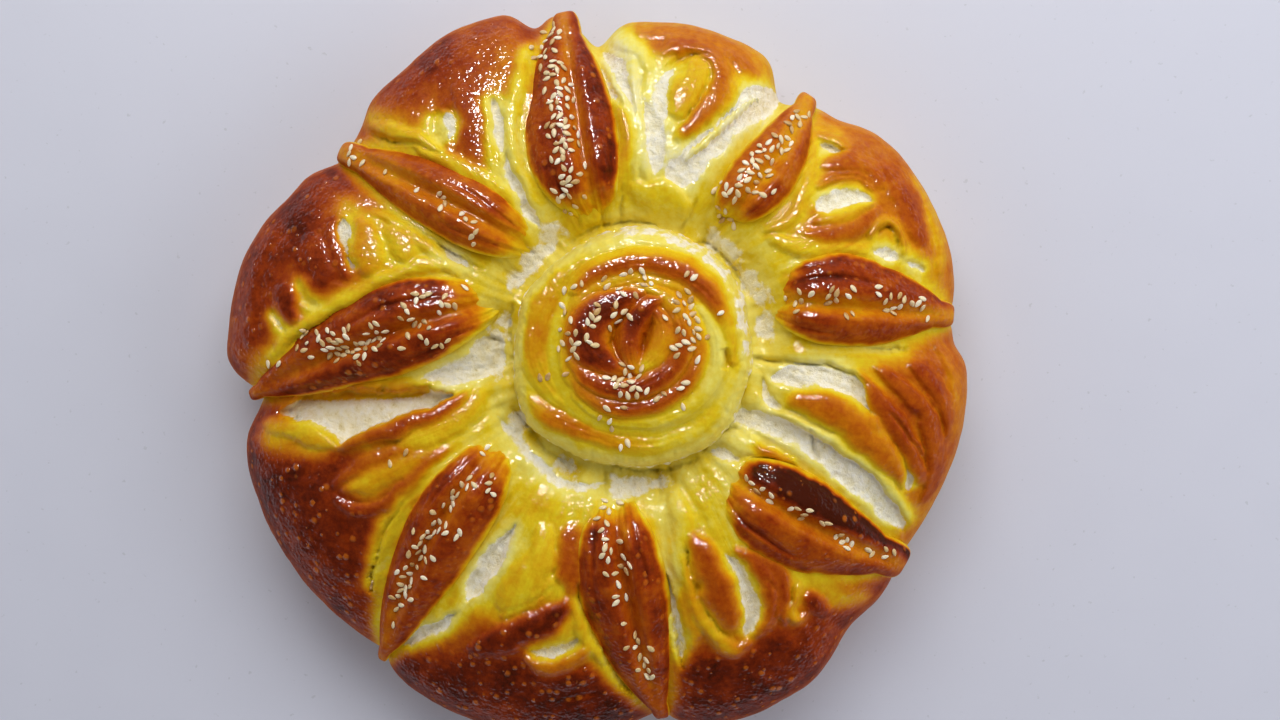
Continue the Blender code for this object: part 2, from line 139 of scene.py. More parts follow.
# Places where the crust has pulled apart: depth, how white the floor is, and (x, y, half-width) along it
TEARS = {
    "nnw_eye": (1.6, 0.3, ((-51, 89, 1.3), (-51.5, 84, 4), (-51, 78.5, 3.5), (-49.5, 74.5, 1.5))),
    "nnw_eye_white": (1, 1, ((-49, 88, 0.8), (-47.5, 84.5, 2), (-47, 80.5, 1.3), (-47, 76.5, 0.7))),
    "nnw_strip_top": (2.2, 1, ((-33, 92, 1), (-32, 87, 2.5), (-30, 79.5, 2), (-29.5, 73.5, 1))),
    "nnw_strip_low": (2, 1, ((-28, 73.5, 0.8), (-26.5, 67, 2), (-24, 60.5, 2.5), (-20.5, 53, 2.5),
        (-17, 47.5, 1))),
    "wnw_slit": (1.8, 1, ((-85, 52.5, 1), (-84, 47, 2.5), (-82, 40, 2), (-79.5, 33.5, 1))),
    "wnw_nick": (1.4, 0.25, ((-101, 32, 0.7), (-98, 26, 1.8), (-92.5, 21, 1.3))),
    "wnw_nick_low": (1.4, 0.6, ((-110.5, 22, 0.7), (-108, 17, 1.5), (-104.5, 11.5, 1.2))),
    "nw_slit": (2.6, 1, ((-51.5, 42.5, 0.5), (-46, 38.5, 2), (-39.5, 34, 1.3))),
    "pocket": (8, 1, ((-109.5, -14, 2.5), (-102.5, -14, 6.5), (-91.5, -14.5, 8.5), (-81.5, -15, 9.5),
        (-69.5, -12.5, 7), (-58, -10, 5), (-45.5, -8, 1.8))),
    "west_flank": (2, 0.85, ((-58, -1.5, 1.3), (-49.5, -1, 3.5), (-41, 1, 5), (-34.5, 6, 6),
        (-31, 11.5, 4))),
    "sw_crevice": (3.4, 0.6, ((-62, -41, 0.7), (-68, -50, 1.2), (-72.5, -60.5, 1.3), (-75.5, -70.5, 1.2),
        (-76.5, -77, 0.7))),
    "ssw_slit": (3.2, 1, ((-25, -50, 0.5), (-29, -57, 2.5), (-34.5, -65, 4), (-40, -72, 3.5),
        (-42, -77, 1.3))),
    "ssw_crevice": (2.8, 0.85, ((-45.5, -81, 1.2), (-52, -86, 2.5), (-59.5, -90.5, 2.5), (-67, -95, 1.2))),
    "ssw_low": (2.4, 0.75, ((-21.5, -95, 0.8), (-15, -94.5, 2.5), (-8.5, -92.5, 2), (-2.5, -88.5, 1))),
    "south_left": (5, 0.4, ((-3.5, -70.5, 0.7), (-1.5, -78, 1.2), (0.5, -85.5, 1.5), (5, -94.5, 2),
        (9, -102, 2.5), (13, -110.5, 1.5))),
    "south_right": (4.5, 0.7, ((22, -62, 0.7), (26, -73, 1.8), (28.5, -82, 2.2), (29.5, -92, 2),
        (30.5, -100, 0.8))),
    "south_root_gap": (2.6, 0.5, ((32.5, -51, 0.5), (32.5, -58, 1), (33, -64.5, 0.7))),
    "sse_white": (2.6, 1, ((44, -58.5, 0.7), (49, -64.5, 1.7), (52.5, -73, 2.5), (54, -81, 2.5),
        (51.5, -89, 1.3))),
    "sse_small": (3.6, 1, ((63, -68, 0.7), (66, -72.5, 1.7), (67, -78, 1.2))),
    "ese_white": (2.4, 1, ((60, -1.5, 2.5), (67, -1, 4), (76, -1, 3.5), (85.5, -4, 3.5), (92, -10, 4),
        (95.5, -16, 3), (99, -21, 0.8))),
    "ese_white_end": (2, 1, ((104, -27.5, 0.7), (107, -33.5, 2), (106, -39, 1.8))),
    "ese_band": (2, 0.85, ((42.5, -17, 1.2), (51, -15, 3.5), (61, -17, 4), (71, -22, 4), (81, -29, 5),
        (89.5, -35.5, 5), (97, -43.5, 4.5), (103, -50.5, 3.5), (106, -56, 1.2))),
    "ese_pocket": (2, 0.9, ((58, -1.5, 0.8), (58.5, -7.5, 2), (63.5, -12, 1.3))),
    "ese_root": (2.2, 0.9, ((38.5, -27, 1), (43.5, -27, 2), (50, -28.5, 1.2))),
    "east_low": (2.6, 0.6, ((90.5, 8, 0.5), (97, 7.5, 1.2), (105.5, 8.5, 0.5))),
    "ene_small": (3, 0.95, ((75.5, 76, 0.7), (79.5, 75, 1.8), (83.5, 73, 0.8))),
    "ene_eye": (2, 0.95, ((74.5, 53, 1), (77.5, 55.5, 3), (83.5, 58, 3.5), (90.5, 58, 2.5),
        (94.5, 56.5, 0.7))),
    "ene_low": (2, 1, ((93, 40.5, 0.7), (98, 40, 2.5), (102, 37.5, 1))),
    "ene_low_end": (2, 0.9, ((103.5, 37.5, 0.5), (108.5, 35.5, 1.3), (112.5, 33, 0.7))),
    "ne_gap": (2.4, 0.5, ((74.5, 70.5, 0.7), (72, 62, 1.2), (69, 53, 1.2), (66, 48.5, 0.7))),
    "nne_band": (1.8, 1, ((64.5, 94.5, 1.7), (57.5, 91.5, 5.5), (50, 86.5, 5), (43.5, 79.5, 4.5),
        (36, 72, 5), (29, 65.5, 5), (24, 60.5, 2.5))),
    "nne_left": (1.5, 1, ((2.5, 109, 1.7), (6, 103, 4.5), (10, 95.5, 4.5), (15, 88, 5), (19, 80.5, 5.5),
        (21.5, 72, 4.5), (21, 65.5, 2))),
    "rose_low_left": (1.4, 0.9, ((-32, -13, 0.8), (-27, -21, 1.7), (-20, -28.5, 2), (-12, -36, 2),
        (-3, -38.5, 1.8), (6, -37.5, 1))),
    "nne_tongue_pale": (0.6, 1, ((27.5, 102, 1.2), (24, 96.5, 3), (23, 89, 3), (25, 84, 1.3))),
}

# Painted shade on strips of a tear's floor under a leaf's edge: bake, and (x, y, half-width) along it
PAINTED_SHADE_STRIPS = {
    "pocket_top_shade": (0.62, ((-110, -8.5, 3), (-97, -8, 4), (-84, -7.5, 4), (-71, -7.5, 3.5),
        (-56, -6.5, 2.5))),
}

# Rolls and folds of dough: rise of the crest, bake on the crest and at the edges, and (x, y, half-width)
ROLLS = {
    "nnw_band": (2.4, 0.36, 0.36, ((-78.5, 84.5, 2), (-66.5, 81, 3), (-54, 74.5, 3), (-41, 67, 3.5),
        (-30.5, 60.5, 3.5), (-23.5, 53, 2.5))),
    "nnw_strip_left": (1.2, 0.24, 0.2, ((-36, 93, 1.3), (-34.5, 84, 1.7), (-33.5, 73.5, 1.8),
        (-30.5, 63.5, 1.7))),
    "nnw_strip_right": (2, 0.3, 0.26, ((-22, 113, 1.8), (-24.5, 99, 2.5), (-26.5, 88, 2.5), (-26, 77, 2),
        (-23, 67, 2), (-18, 56, 1.8))),
    "nnw_ridge": (1.0, 0.76, 0.74, ((-46, 96.5, 3.5), (-40.5, 87, 5), (-39, 77, 4.5), (-36, 67, 2.5))),
    "wnw_puff": (3, 0.52, 0.37, ((-79.5, 52, 3.5), (-76, 44.5, 6.5), (-74.5, 37.5, 6), (-75.5, 32.5, 3))),
    "wnw_puff_inner": (2.4, 0.46, 0.36, ((-68, 49.5, 2.5), (-62.5, 43.5, 5), (-59, 37.5, 4))),
    "wnw_slit_edge": (1.4, 0.84, 0.82, ((-87.5, 53.5, 1.8), (-87.5, 46, 2.5), (-85, 38.5, 3),
        (-81.5, 31, 2))),
    "wnw_hump": (1.4, 0.86, 0.85, ((-96.5, 47, 4), (-92.5, 38.5, 5.5), (-89, 30, 3.5))),
    "wnw_hump_low": (1.8, 0.88, 0.82, ((-106.5, 29.5, 3.5), (-104, 23.5, 4.5), (-100.5, 17, 3))),
    "wnw_rim": (1.0, 0.85, 0.84, ((-109, 52, 3.5), (-116.5, 37, 4), (-119, 22, 4), (-118.5, 8.5, 3.5))),
    "west_band": (1.8, 0.36, 0.36, ((-112.5, 4, 1.7), (-100, 14, 2), (-86.5, 22, 2), (-74.5, 28.5, 2.5),
        (-62, 34, 2.5), (-51.5, 36.5, 2.5), (-41, 34, 2))),
    "nw_band": (1.6, 0.34, 0.34, ((-74.5, 54.5, 1.7), (-62, 48.5, 2), (-52, 40, 2), (-43, 32.5, 1.8))),
    "pocket_strip": (1.8, 0.38, 0.36, ((-115.5, -17.5, 2), (-105.5, -19.5, 3), (-94, -22, 3),
        (-85.5, -25.5, 1.7))),
    "pocket_lip": (4.0, 0.78, 0.66, ((-86, -25.5, 1.3), (-78, -22.5, 2.5), (-69.5, -20, 3), (-59, -16.5, 3),
        (-49, -12, 2.5), (-40.5, -6.5, 2))),
    "pocket_tongue": (2.4, 0.42, 0.34, ((-64.5, -24, 2), (-54, -20.5, 4.5), (-43, -14, 4.5),
        (-35.5, -6.5, 3.5))),
    "wsw_oval": (2, 0.44, 0.6, ((-84.5, -40.5, 2), (-76.5, -37.5, 4.5), (-68, -34, 4.5), (-58, -29, 3.5),
        (-49.5, -24.5, 2))),
    "wsw_upper": (1.6, 0.72, 0.64, ((-88, -39, 1.7), (-78, -32, 2.5), (-66.5, -27, 2.5),
        (-52, -23.5, 1.7))),
    "wsw_under": (2.2, 0.78, 0.72, ((-87.5, -43, 1.5), (-79.5, -46.5, 2.5), (-70.5, -44.5, 3),
        (-62, -37.5, 2.5), (-54, -29.5, 2), (-46, -24.5, 1.5))),
    "sw_border": (1.8, 0.36, 0.36, ((-52, -29, 1.7), (-59.5, -37.5, 2), (-65.5, -46, 2),
        (-69.5, -55.5, 2.5), (-73, -65.5, 2), (-75, -77, 1.7))),
    "wsw_core": (0.9, 0.92, 0.91, ((-101.5, -37.5, 7.5), (-95.5, -50, 11), (-88, -63.5, 9),
        (-83, -72, 4))),
    "ssw_cushion": (2.6, 0.37, 0.46, ((-14.5, -51, 4), (-17, -61, 6), (-23, -71, 6.5), (-30.5, -80.5, 5))),
    "ssw_fold": (2, 0.4, 0.56, ((-12, -68, 1.7), (-17, -74.5, 2), (-24.5, -78.5, 2), (-31, -82, 1.3))),
    "ssw_ridge": (3.4, 0.9, 0.84, ((-6, -75.5, 3), (-12.5, -81, 5), (-22, -86, 5.5), (-32, -90.5, 5),
        (-42, -94.5, 3.5))),
    "ssw_low_face": (1.6, 0.42, 0.44, ((-3.5, -82, 2), (-9.5, -86.5, 2.5), (-16, -90.5, 2))),
    "ssw_low_lip": (3.2, 0.62, 0.42, ((-22.5, -96.5, 1.3), (-16, -99, 2.5), (-8.5, -97.5, 3),
        (-2, -93.5, 2.5), (0.5, -90.5, 1.3))),
    "ssw_low_body": (1.6, 0.9, 0.9, ((-18.5, -104, 2.5), (-9.5, -104, 4), (0.5, -100.5, 4))),
    "south_left_top": (2, 0.74, 0.62, ((-5.5, -49.5, 3), (-6.5, -57, 5), (-6, -66, 5), (-5, -75, 3))),
    "south_left_edge": (2, 0.4, 0.36, ((-6, -74, 1.3), (-2.5, -87, 1.7), (4, -99, 1.5))),
    "sse_island": (4.4, 0.74, 0.5, ((34, -53, 2.5), (38.5, -61, 5), (42, -70.5, 7), (45, -78.5, 6.5),
        (47.5, -86.5, 3.5))),
    "sse_left_rim": (2.8, 0.46, 0.5, ((31, -59.5, 1.5), (32, -68.5, 2), (34.5, -78, 2.5), (40, -86, 2.5),
        (48, -93, 2.5), (53.5, -90.5, 1.5))),
    "sse_right_fold": (3.2, 0.76, 0.6, ((47.5, -57, 1.5), (55, -63, 2.5), (59.5, -71, 3), (60, -79.5, 3),
        (55, -88, 1.7))),
    "sse_right_outer": (2.0, 0.82, 0.76, ((52.5, -58.5, 1.5), (61, -64.5, 3), (65, -73.5, 3),
        (65, -84, 2))),
    "sse_hook": (2.2, 0.36, 0.34, ((70, -69.5, 1), (68.5, -76, 1.2), (67.5, -81, 1.3), (70, -83, 1.2),
        (72.5, -79.5, 0.8))),
    "sse_hook_inner": (2.0, 0.88, 0.82, ((72, -73.5, 2), (76, -78, 3.5), (79.5, -82, 2.5))),
    "sse_low_left": (2, 0.62, 0.4, ((31.5, -70.5, 2), (32.5, -80.5, 3), (36, -89.5, 2.5))),
    "sse_root": (2, 0.28, 0.24, ((27.5, -38.5, 3.5), (31, -50, 3.5), (29, -61, 3), (30, -70.5, 2))),
    "south_right_edge": (1.8, 0.36, 0.36, ((27.5, -55.5, 1.7), (31.5, -67, 1.8), (33.5, -80.5, 1.8),
        (34, -93, 1.5))),
    "ese_yellow": (2.4, 0.3, 0.22, ((46.5, 4, 3.5), (52, -4, 5.5), (52.5, -11, 4))),
    "ese_island": (4.2, 0.66, 0.46, ((65, -10, 2.5), (74.5, -9, 5.5), (83.5, -14, 6.5), (93, -22.5, 6),
        (100.5, -31, 4.5), (104.5, -37.5, 2))),
    "ese_skirt": (2.2, 0.2, 0.16, ((61, -12.5, 1.3), (74.5, -18.5, 2), (86, -26, 2), (97, -35, 2),
        (105.5, -46, 2), (107.5, -53, 1.2))),
    # The east-south-east ridges' edges bake darker than their crests: painted shade in the valleys between
    "ese_ridge_inner": (3.4, 0.74, 0.82, ((88, 1, 1.3), (95.5, -8.5, 3.5), (102, -18.5, 4),
        (108.5, -29.5, 3.5), (111, -38.5, 2))),
    "ese_ridge_mid": (3.2, 0.72, 0.82, ((94.5, 2.5, 1.3), (104.5, -5, 3.5), (112, -14, 4), (115.5, -25, 4),
        (114.5, -36, 3), (110.5, -45, 1.7))),
    "ese_ridge_outer": (2.6, 0.76, 0.8, ((105.5, 3.5, 1.7), (113, -2.5, 3), (118.5, -11.5, 3),
        (120.5, -22, 2.5))),
    "ese_rim": (1.4, 0.6, 0.6, ((114.5, 11, 2), (120.5, 1.5, 2.5), (123, -10, 2.5), (122, -23.5, 2))),
    "ese_cushion": (3, 0.14, 0.14, ((38.5, -23.5, 1.3), (44, -21.5, 3), (52, -23.5, 3), (58.5, -27, 1.7))),
    "ese_brown_edge": (3.2, 0.74, 0.5, ((52, -23.5, 1), (59.5, -26, 1.5), (67.5, -29.5, 1))),
    "ene_top_fold": (2.2, 0.5, 0.4, ((75, 79.5, 1.3), (81, 78.5, 2), (85, 75, 1.3))),
    "ene_rim_top": (2.0, 0.7, 0.68, ((76, 68.5, 2), (84.5, 70.5, 3.5), (93, 68, 3.5), (98.5, 62, 2.5))),
    "ene_rim": (2.4, 0.64, 0.62, ((74.5, 61, 1.2), (80, 64, 1.8), (88, 64.5, 2), (94, 61, 1.3))),
    "ene_lower_lid": (3, 0.42, 0.36, ((73.5, 50, 1.2), (80, 50.5, 2), (88, 54, 2), (94.5, 57, 1))),
    "ene_below": (3.0, 0.72, 0.62, ((70, 46, 1.7), (79.5, 46, 3), (88, 48.5, 3.5), (96, 54.5, 2))),
    "ene_hook": (2.8, 0.42, 0.36, ((92, 44, 1), (95.5, 49, 1.5), (100, 50, 1.5), (102.5, 45, 1.5),
        (103.5, 39, 1))),
    "ene_wall": (2.0, 0.76, 0.74, ((96, 70.5, 3.5), (103.5, 62, 5), (108, 52, 5), (111, 42, 3.5))),
    "ene_edge": (1.8, 0.46, 0.42, ((108, 68, 1.5), (113.5, 55.5, 2), (116.5, 43.5, 2.5),
        (117, 32.5, 1.8))),
    "ene_yellow": (2, 0.36, 0.34, ((59.5, 45, 2), (67.5, 42, 3), (81, 42, 3), (93, 40, 2))),
    "ne_flank": (2, 0.4, 0.36, ((73.5, 83, 1.2), (73.5, 70.5, 1.8), (70, 58.5, 2), (65, 50, 2),
        (57.5, 47, 1.5))),
    "nne_face": (3.0, 0.46, 0.34, ((34, 106, 2.5), (34.5, 98, 6), (30.5, 90.5, 5.5), (27.5, 85, 2.5))),
    "nne_roll": (3.8, 0.66, 0.56, ((23, 106, 1.7), (27.5, 110, 3.5), (36, 110, 3.5), (41.5, 105, 3.5),
        (43, 97, 3.5), (39.5, 89, 3.5), (34, 82, 3.5), (28.5, 76.5, 2))),
    "nne_outer": (1.8, 0.66, 0.62, ((14, 115.5, 2), (26, 114.5, 3.5), (37.5, 113, 4), (48.5, 107, 4),
        (55, 99.5, 3))),
    "nne_gold": (1.8, 0.46, 0.4, ((46, 99.5, 3), (46, 93, 3.5), (41.5, 85.5, 2))),
    "nne_top_left": (1.6, 0.22, 0.13, ((0.5, 114.5, 1.7), (7.5, 113, 3.5), (15, 109, 3), (19, 100.5, 2))),
    "nne_streak": (1.4, 0.14, 0.1, ((12.5, 106.5, 1), (15, 97, 1.5), (16.5, 86.5, 1.5), (17.5, 73.5, 1.7),
        (19, 63.5, 1.3))),
    "nne_streak_right": (1.2, 0.14, 0.1, ((55, 92, 0.8), (46.5, 84.5, 1.3), (38.5, 77, 1.3),
        (31.5, 70.5, 1.2))),
    "north_flank": (3, 0.44, 0.34, ((5.5, 92, 1.2), (10.5, 85.5, 2.5), (12.5, 77, 3.5), (10, 67, 3.5),
        (5.5, 59.5, 2.5))),
    "north_flank_line": (1.6, 0.18, 0.14, ((0.5, 107, 1), (7.5, 96.5, 1.3), (14, 84.5, 1.5),
        (16, 73.5, 1.5), (15, 62, 1.3))),
    "nne_root": (2.4, 0.33, 0.33, ((12.5, 61, 3.5), (21, 58.5, 5), (27.5, 57, 5), (32.5, 53, 3.5))),
}

# Thin crevices: half-width, depth and line
CREASES = {
    "nnw_band_under": (0.7, 2.6, ((-78.5, 81.5), (-69.5, 78.5), (-58, 76), (-48.5, 72.5))),
    "nnw_eye_edge": (0.6, 1.8, ((-49.5, 89.5), (-46, 87), (-45, 80.5), (-45.5, 73.5))),
    "nw_slit_top": (0.5, 3, ((-55.5, 47), (-50.5, 42), (-44.5, 39.5), (-36, 34))),
    "west_band_under": (0.6, 2, ((-105.5, 7.5), (-91.5, 16), (-74.5, 24.5), (-61.5, 31))),
    "wsw_curl": (0.6, 1.8, ((-87.5, -41), (-83, -43.5), (-76.5, -44), (-69, -41), (-62, -35))),
    "sw_crevice_line": (0.6, 3.5, ((-63, -43), (-69.5, -52.5), (-73.5, -63.5), (-76, -74.5))),
    "ssw_crack": (0.5, 1.6, ((-11, -112), (-4, -110.5), (3, -108.5))),
    "ssw_fold_line": (0.6, 1.6, ((-31, -81), (-24.5, -78.5), (-18, -75.5), (-12.5, -70.5))),
    "south_left_line": (0.7, 5, ((-3.5, -70), (-2, -78), (0, -84.5))),
    "sse_fold_line": (0.5, 2, ((57, -67), (62, -73.5), (61, -81), (57, -87))),
    "sse_hook_line": (0.5, 2.6, ((67.5, -71), (67.5, -75.5), (66, -78.5))),
    "east_under": (0.7, 4.5, ((50, 5.5), (62.5, 4), (74.5, 3), (85.5, 0.5), (91, -4))),
    "ese_ridge_line": (0.6, 2.6, ((98.5, -12.5), (104.5, -20), (110, -27), (112, -32))),
    "ese_ridge_line_outer": (0.6, 2.4, ((100.5, 1.5), (107, -4), (115.5, -13.5), (118.5, -23.5),
        (118, -32))),
    "ese_skirt_line": (0.6, 2.6, ((72.5, -17.5), (74, -23.5), (76, -29.5))),
    "ese_cushion_line": (0.6, 3, ((36.5, -27), (40, -20.5), (47.5, -19), (53.5, -22))),
    "ene_rim_line": (0.5, 1.8, ((76, 62.5), (82, 65), (88.5, 65), (93, 62.5))),
    "ene_rim_line_low": (0.5, 1.6, ((75, 60), (81, 63), (88, 63.5), (94, 60))),
    "ene_edge_line": (0.6, 1.8, ((107, 67), (112, 55.5), (115, 45), (116, 37))),
    "ene_hook_line": (0.5, 2.4, ((94.5, 45), (98, 48), (101, 46), (101.5, 40))),
    "nne_roll_line": (0.6, 2.6, ((23, 101.5), (29, 105), (36.5, 106.5), (40, 106))),
    "nne_roll_inner": (0.6, 2.4, ((39.5, 104), (39, 97), (35.5, 89.5), (31, 84.5))),
    "nne_crack": (0.5, 2.4, ((17, 99), (16.5, 90.5), (18.5, 84))),
    "north_pleat_left": (0.6, 2.2, ((-3, 46.5), (-5, 52), (-6.5, 57.5))),
    "north_pleat": (0.6, 2.4, ((4, 47.5), (3, 53.5), (2.5, 60))),
    "north_pleat_right": (0.5, 2.2, ((9.5, 49.5), (10, 55), (10.5, 62))),
    "north_east_pleat": (0.6, 2.4, ((29, 48), (33, 53), (36.5, 57.5))),
    "north_east_pleat_low": (0.6, 2.4, ((37.5, 43), (42, 47), (46, 50))),
    "trench_north": (0.9, 4, ((-9, 43), (-2, 46.5), (6, 50), (14, 50.5), (22, 49.5))),
    "trench_north_east": (0.9, 4, ((36, 44.5), (43, 40), (48.5, 33.5), (53, 25))),
    "trench_west": (0.8, 4, ((-27, 24), (-28, 15), (-27.5, 6), (-26, -2))),
    "trench_south_west": (1.0, 4.5, ((-27.5, -11), (-22, -19), (-15, -27), (-6, -33.5))),
    "trench_south": (0.7, 3, ((0, -31), (8, -32), (17, -33), (27, -32.5), (36, -29))),
    "trench_east": (0.9, 4.5, ((51, 6), (51.5, 0), (49, -7), (45, -13))),
}

# Where the trench round the rose is torn open: middle and half of each arc, in degrees
TORN_ARCS = ((136.0, 18.0), (20.0, 20.0), (178.0, 14.0), (216.0, 8.0), (241.0, 6.0), (272.0, 14.0),
    (50.0, 10.0))

# The rose's rolled strands, lowest first: the bake at a strand's edges, then places along its crest as
# (x, y, half-width, height, bake)
STRANDS = {
    "collar_top": (0.2, ((-7.4, 30.7, 5.6, 65.2, 0.34), (1.4, 39.1, 5, 65.4, 0.24),
        (12.7, 42.8, 4.8, 65.6, 0.2), (24, 42.4, 4.8, 65.6, 0.2), (34.4, 38.3, 4.7, 65.4, 0.24),
        (42.5, 31.5, 4.4, 65.2, 0.28), (47.3, 23.4, 4.2, 65.2, 0.32), (49.3, 14.6, 4, 65.2, 0.34),
        (48.9, 7.3, 3.4, 64.8, 0.32))),
    "collar_left": (0.33, ((-1.8, 37.1, 4, 65.6, 0.34), (-9.8, 29.9, 6, 66.2, 0.44),
        (-15.1, 20.2, 7.6, 66.4, 0.52), (-16.3, 10.6, 7.9, 66.4, 0.54), (-14.7, 1.7, 6.8, 66.2, 0.46),
        (-9.8, -6.3, 4.8, 66, 0.4), (-2.6, -11.2, 2.8, 65.6, 0.36), (4.6, -13.7, 1.6, 65.2, 0.34))),
    "collar_low": (0.33, ((-21.9, -5.5, 3.2, 63.5, 0.34), (-15.5, -12, 4.8, 65, 0.56),
        (-6.6, -16, 5, 65.4, 0.66), (3.8, -19.6, 5, 65.4, 0.6), (14.3, -22, 5.2, 65.4, 0.44),
        (24, -21.6, 5.2, 65.2, 0.36), (34.4, -18, 4.8, 65, 0.34), (41.3, -11.6, 4, 64.8, 0.33),
        (45.7, -3.9, 3.4, 64.6, 0.32), (48.1, 0.9, 2.4, 64, 0.3))),
    "left_wrap": (0.36, ((-3, 22.6, 1.8, 68.6, 0.45), (-5.8, 15.4, 2.3, 69.2, 0.46),
        (-7, 7.3, 2.4, 69.2, 0.46), (-6.2, 0.1, 2.3, 69, 0.42), (-3.8, -4.7, 1.6, 68.4, 0.4))),
    "golden_band": (0.4, ((-5.7, 17.8, 1.6, 69, 0.5), (-2.2, 24.2, 2.6, 69.8, 0.5),
        (4.6, 28.7, 2.9, 70, 0.48), (14.3, 30.9, 3.1, 70, 0.46), (24, 29.9, 3.1, 70, 0.48),
        (31.2, 26.3, 2.9, 69.8, 0.5), (36.9, 21, 2.4, 69.2, 0.4), (41.3, 14.6, 1.4, 68.4, 0.3))),
    "petal": (0.44, ((-3.4, 26.7, 1.8, 69.6, 0.6), (0.6, 31.5, 2.7, 70.4, 0.78),
        (8.7, 34.9, 3.4, 70.8, 0.76), (18.3, 36.2, 3.7, 71, 0.78), (28, 34.3, 3.9, 71, 0.78),
        (36, 29.9, 4, 70.8, 0.77), (41.3, 24.2, 3.9, 70.4, 0.74), (44.5, 17.8, 3.2, 69.8, 0.5),
        (45.9, 11.4, 2.4, 69, 0.36), (46.1, 4.9, 1.3, 67.6, 0.34))),
    "ring_three": (0.27, ((30.4, 24.2, 1.3, 69, 0.3), (36, 21.8, 2.7, 69.6, 0.2),
        (40.1, 16.2, 3.5, 69.6, 0.2), (42.1, 9, 3.7, 69.4, 0.22), (41.3, 1.7, 3.7, 69.2, 0.24),
        (37.7, -5.1, 3.7, 69, 0.28), (31.2, -10.8, 3.5, 68.8, 0.31), (23.2, -14, 3.2, 68.6, 0.34),
        (14.3, -14.8, 2.9, 68.6, 0.36), (5.5, -13.2, 2.4, 68.4, 0.36), (-1.8, -8.8, 1.9, 68.2, 0.36),
        (-5.8, -3.5, 1.1, 67.6, 0.36))),
    "ring_two": (0.5, ((34.4, 21, 1.1, 70, 0.45), (36.2, 14.6, 2.1, 71, 0.5),
        (36.5, 7.3, 2.6, 71.2, 0.6), (34.4, 0.1, 2.7, 71.2, 0.72), (29.6, -5.5, 2.9, 71.2, 0.78),
        (22.4, -9.6, 3.1, 71.2, 0.8), (14.3, -11, 3.1, 71, 0.78), (6.3, -9.7, 2.9, 70.8, 0.72),
        (-0.2, -5.9, 2.6, 70.4, 0.62), (-4.6, -0.7, 1.8, 69.4, 0.5))),
    "ring_one": (0.56, ((14.3, 28.3, 0.8, 70.6, 0.42), (21.6, 27.3, 1.8, 71.6, 0.42),
        (27.2, 23.4, 2.7, 72.4, 0.5), (30.8, 17, 3.4, 73, 0.62), (31.4, 9.8, 3.7, 73.2, 0.78),
        (28.4, 2.9, 3.9, 73.2, 0.82), (22.4, -1.9, 3.9, 73.2, 0.86), (14.3, -4.6, 3.7, 73, 0.86),
        (6.3, -3.8, 3.4, 72.6, 0.83), (0.2, -0.9, 2.9, 72, 0.8), (-4.4, 3.7, 1.8, 70.8, 0.56))),
    "eye_right": (0.6, ((22.4, 21.8, 1.8, 72.4, 0.74), (25.2, 16.2, 3.2, 73, 0.62),
        (24.6, 9.8, 4.2, 73.2, 0.55), (21.6, 4.9, 3.7, 72.8, 0.48), (17.5, 1.7, 1.8, 71.8, 0.44))),
    "bun": (0.6, ((18.3, 26.3, 1.4, 71.6, 0.78), (11.9, 24.2, 3.9, 73, 0.91),
        (4.6, 20.2, 6.3, 73.6, 0.92), (0.6, 13.8, 7.4, 73.7, 0.94), (2.2, 7.3, 6.4, 73.4, 0.93),
        (7.9, 2.9, 3.5, 72.8, 0.9), (13.5, 0.9, 1.1, 71.6, 0.6))),
    "eye_left": (0.72, ((24, 24.2, 1.3, 72.6, 0.8), (19.9, 22.2, 2.9, 73.5, 0.88),
        (16.1, 17, 3.4, 73.8, 0.9), (14.3, 10.6, 3.5, 73.8, 0.84), (14.7, 4.9, 2.9, 73.3, 0.68),
        (16.3, 1.3, 1.1, 72, 0.5))),
}

# Slits in the rose, at its eye and where its last turn is tucked in: line, half-width and depth
ROSE_SLITS = (
    (((18.9, 13.4), (18.5, 10.6), (18.1, 7.4)), 0.8, 2.6),
    (((44.8, 8.6), (45.6, 5.0), (44.8, 1.4)), 1.1, 3.4),
)

# The rose's outline: angle in degrees and distance from its middle
ROSE_EDGE = ((0, 38.6), (26, 39.6), (52, 40.9), (84, 40.6), (118, 36.6), (156, 39.6), (186, 36.8),
    (208, 43.4), (226, 40.4), (246, 39.6), (276, 37.4), (307, 41.6), (326, 40.0))

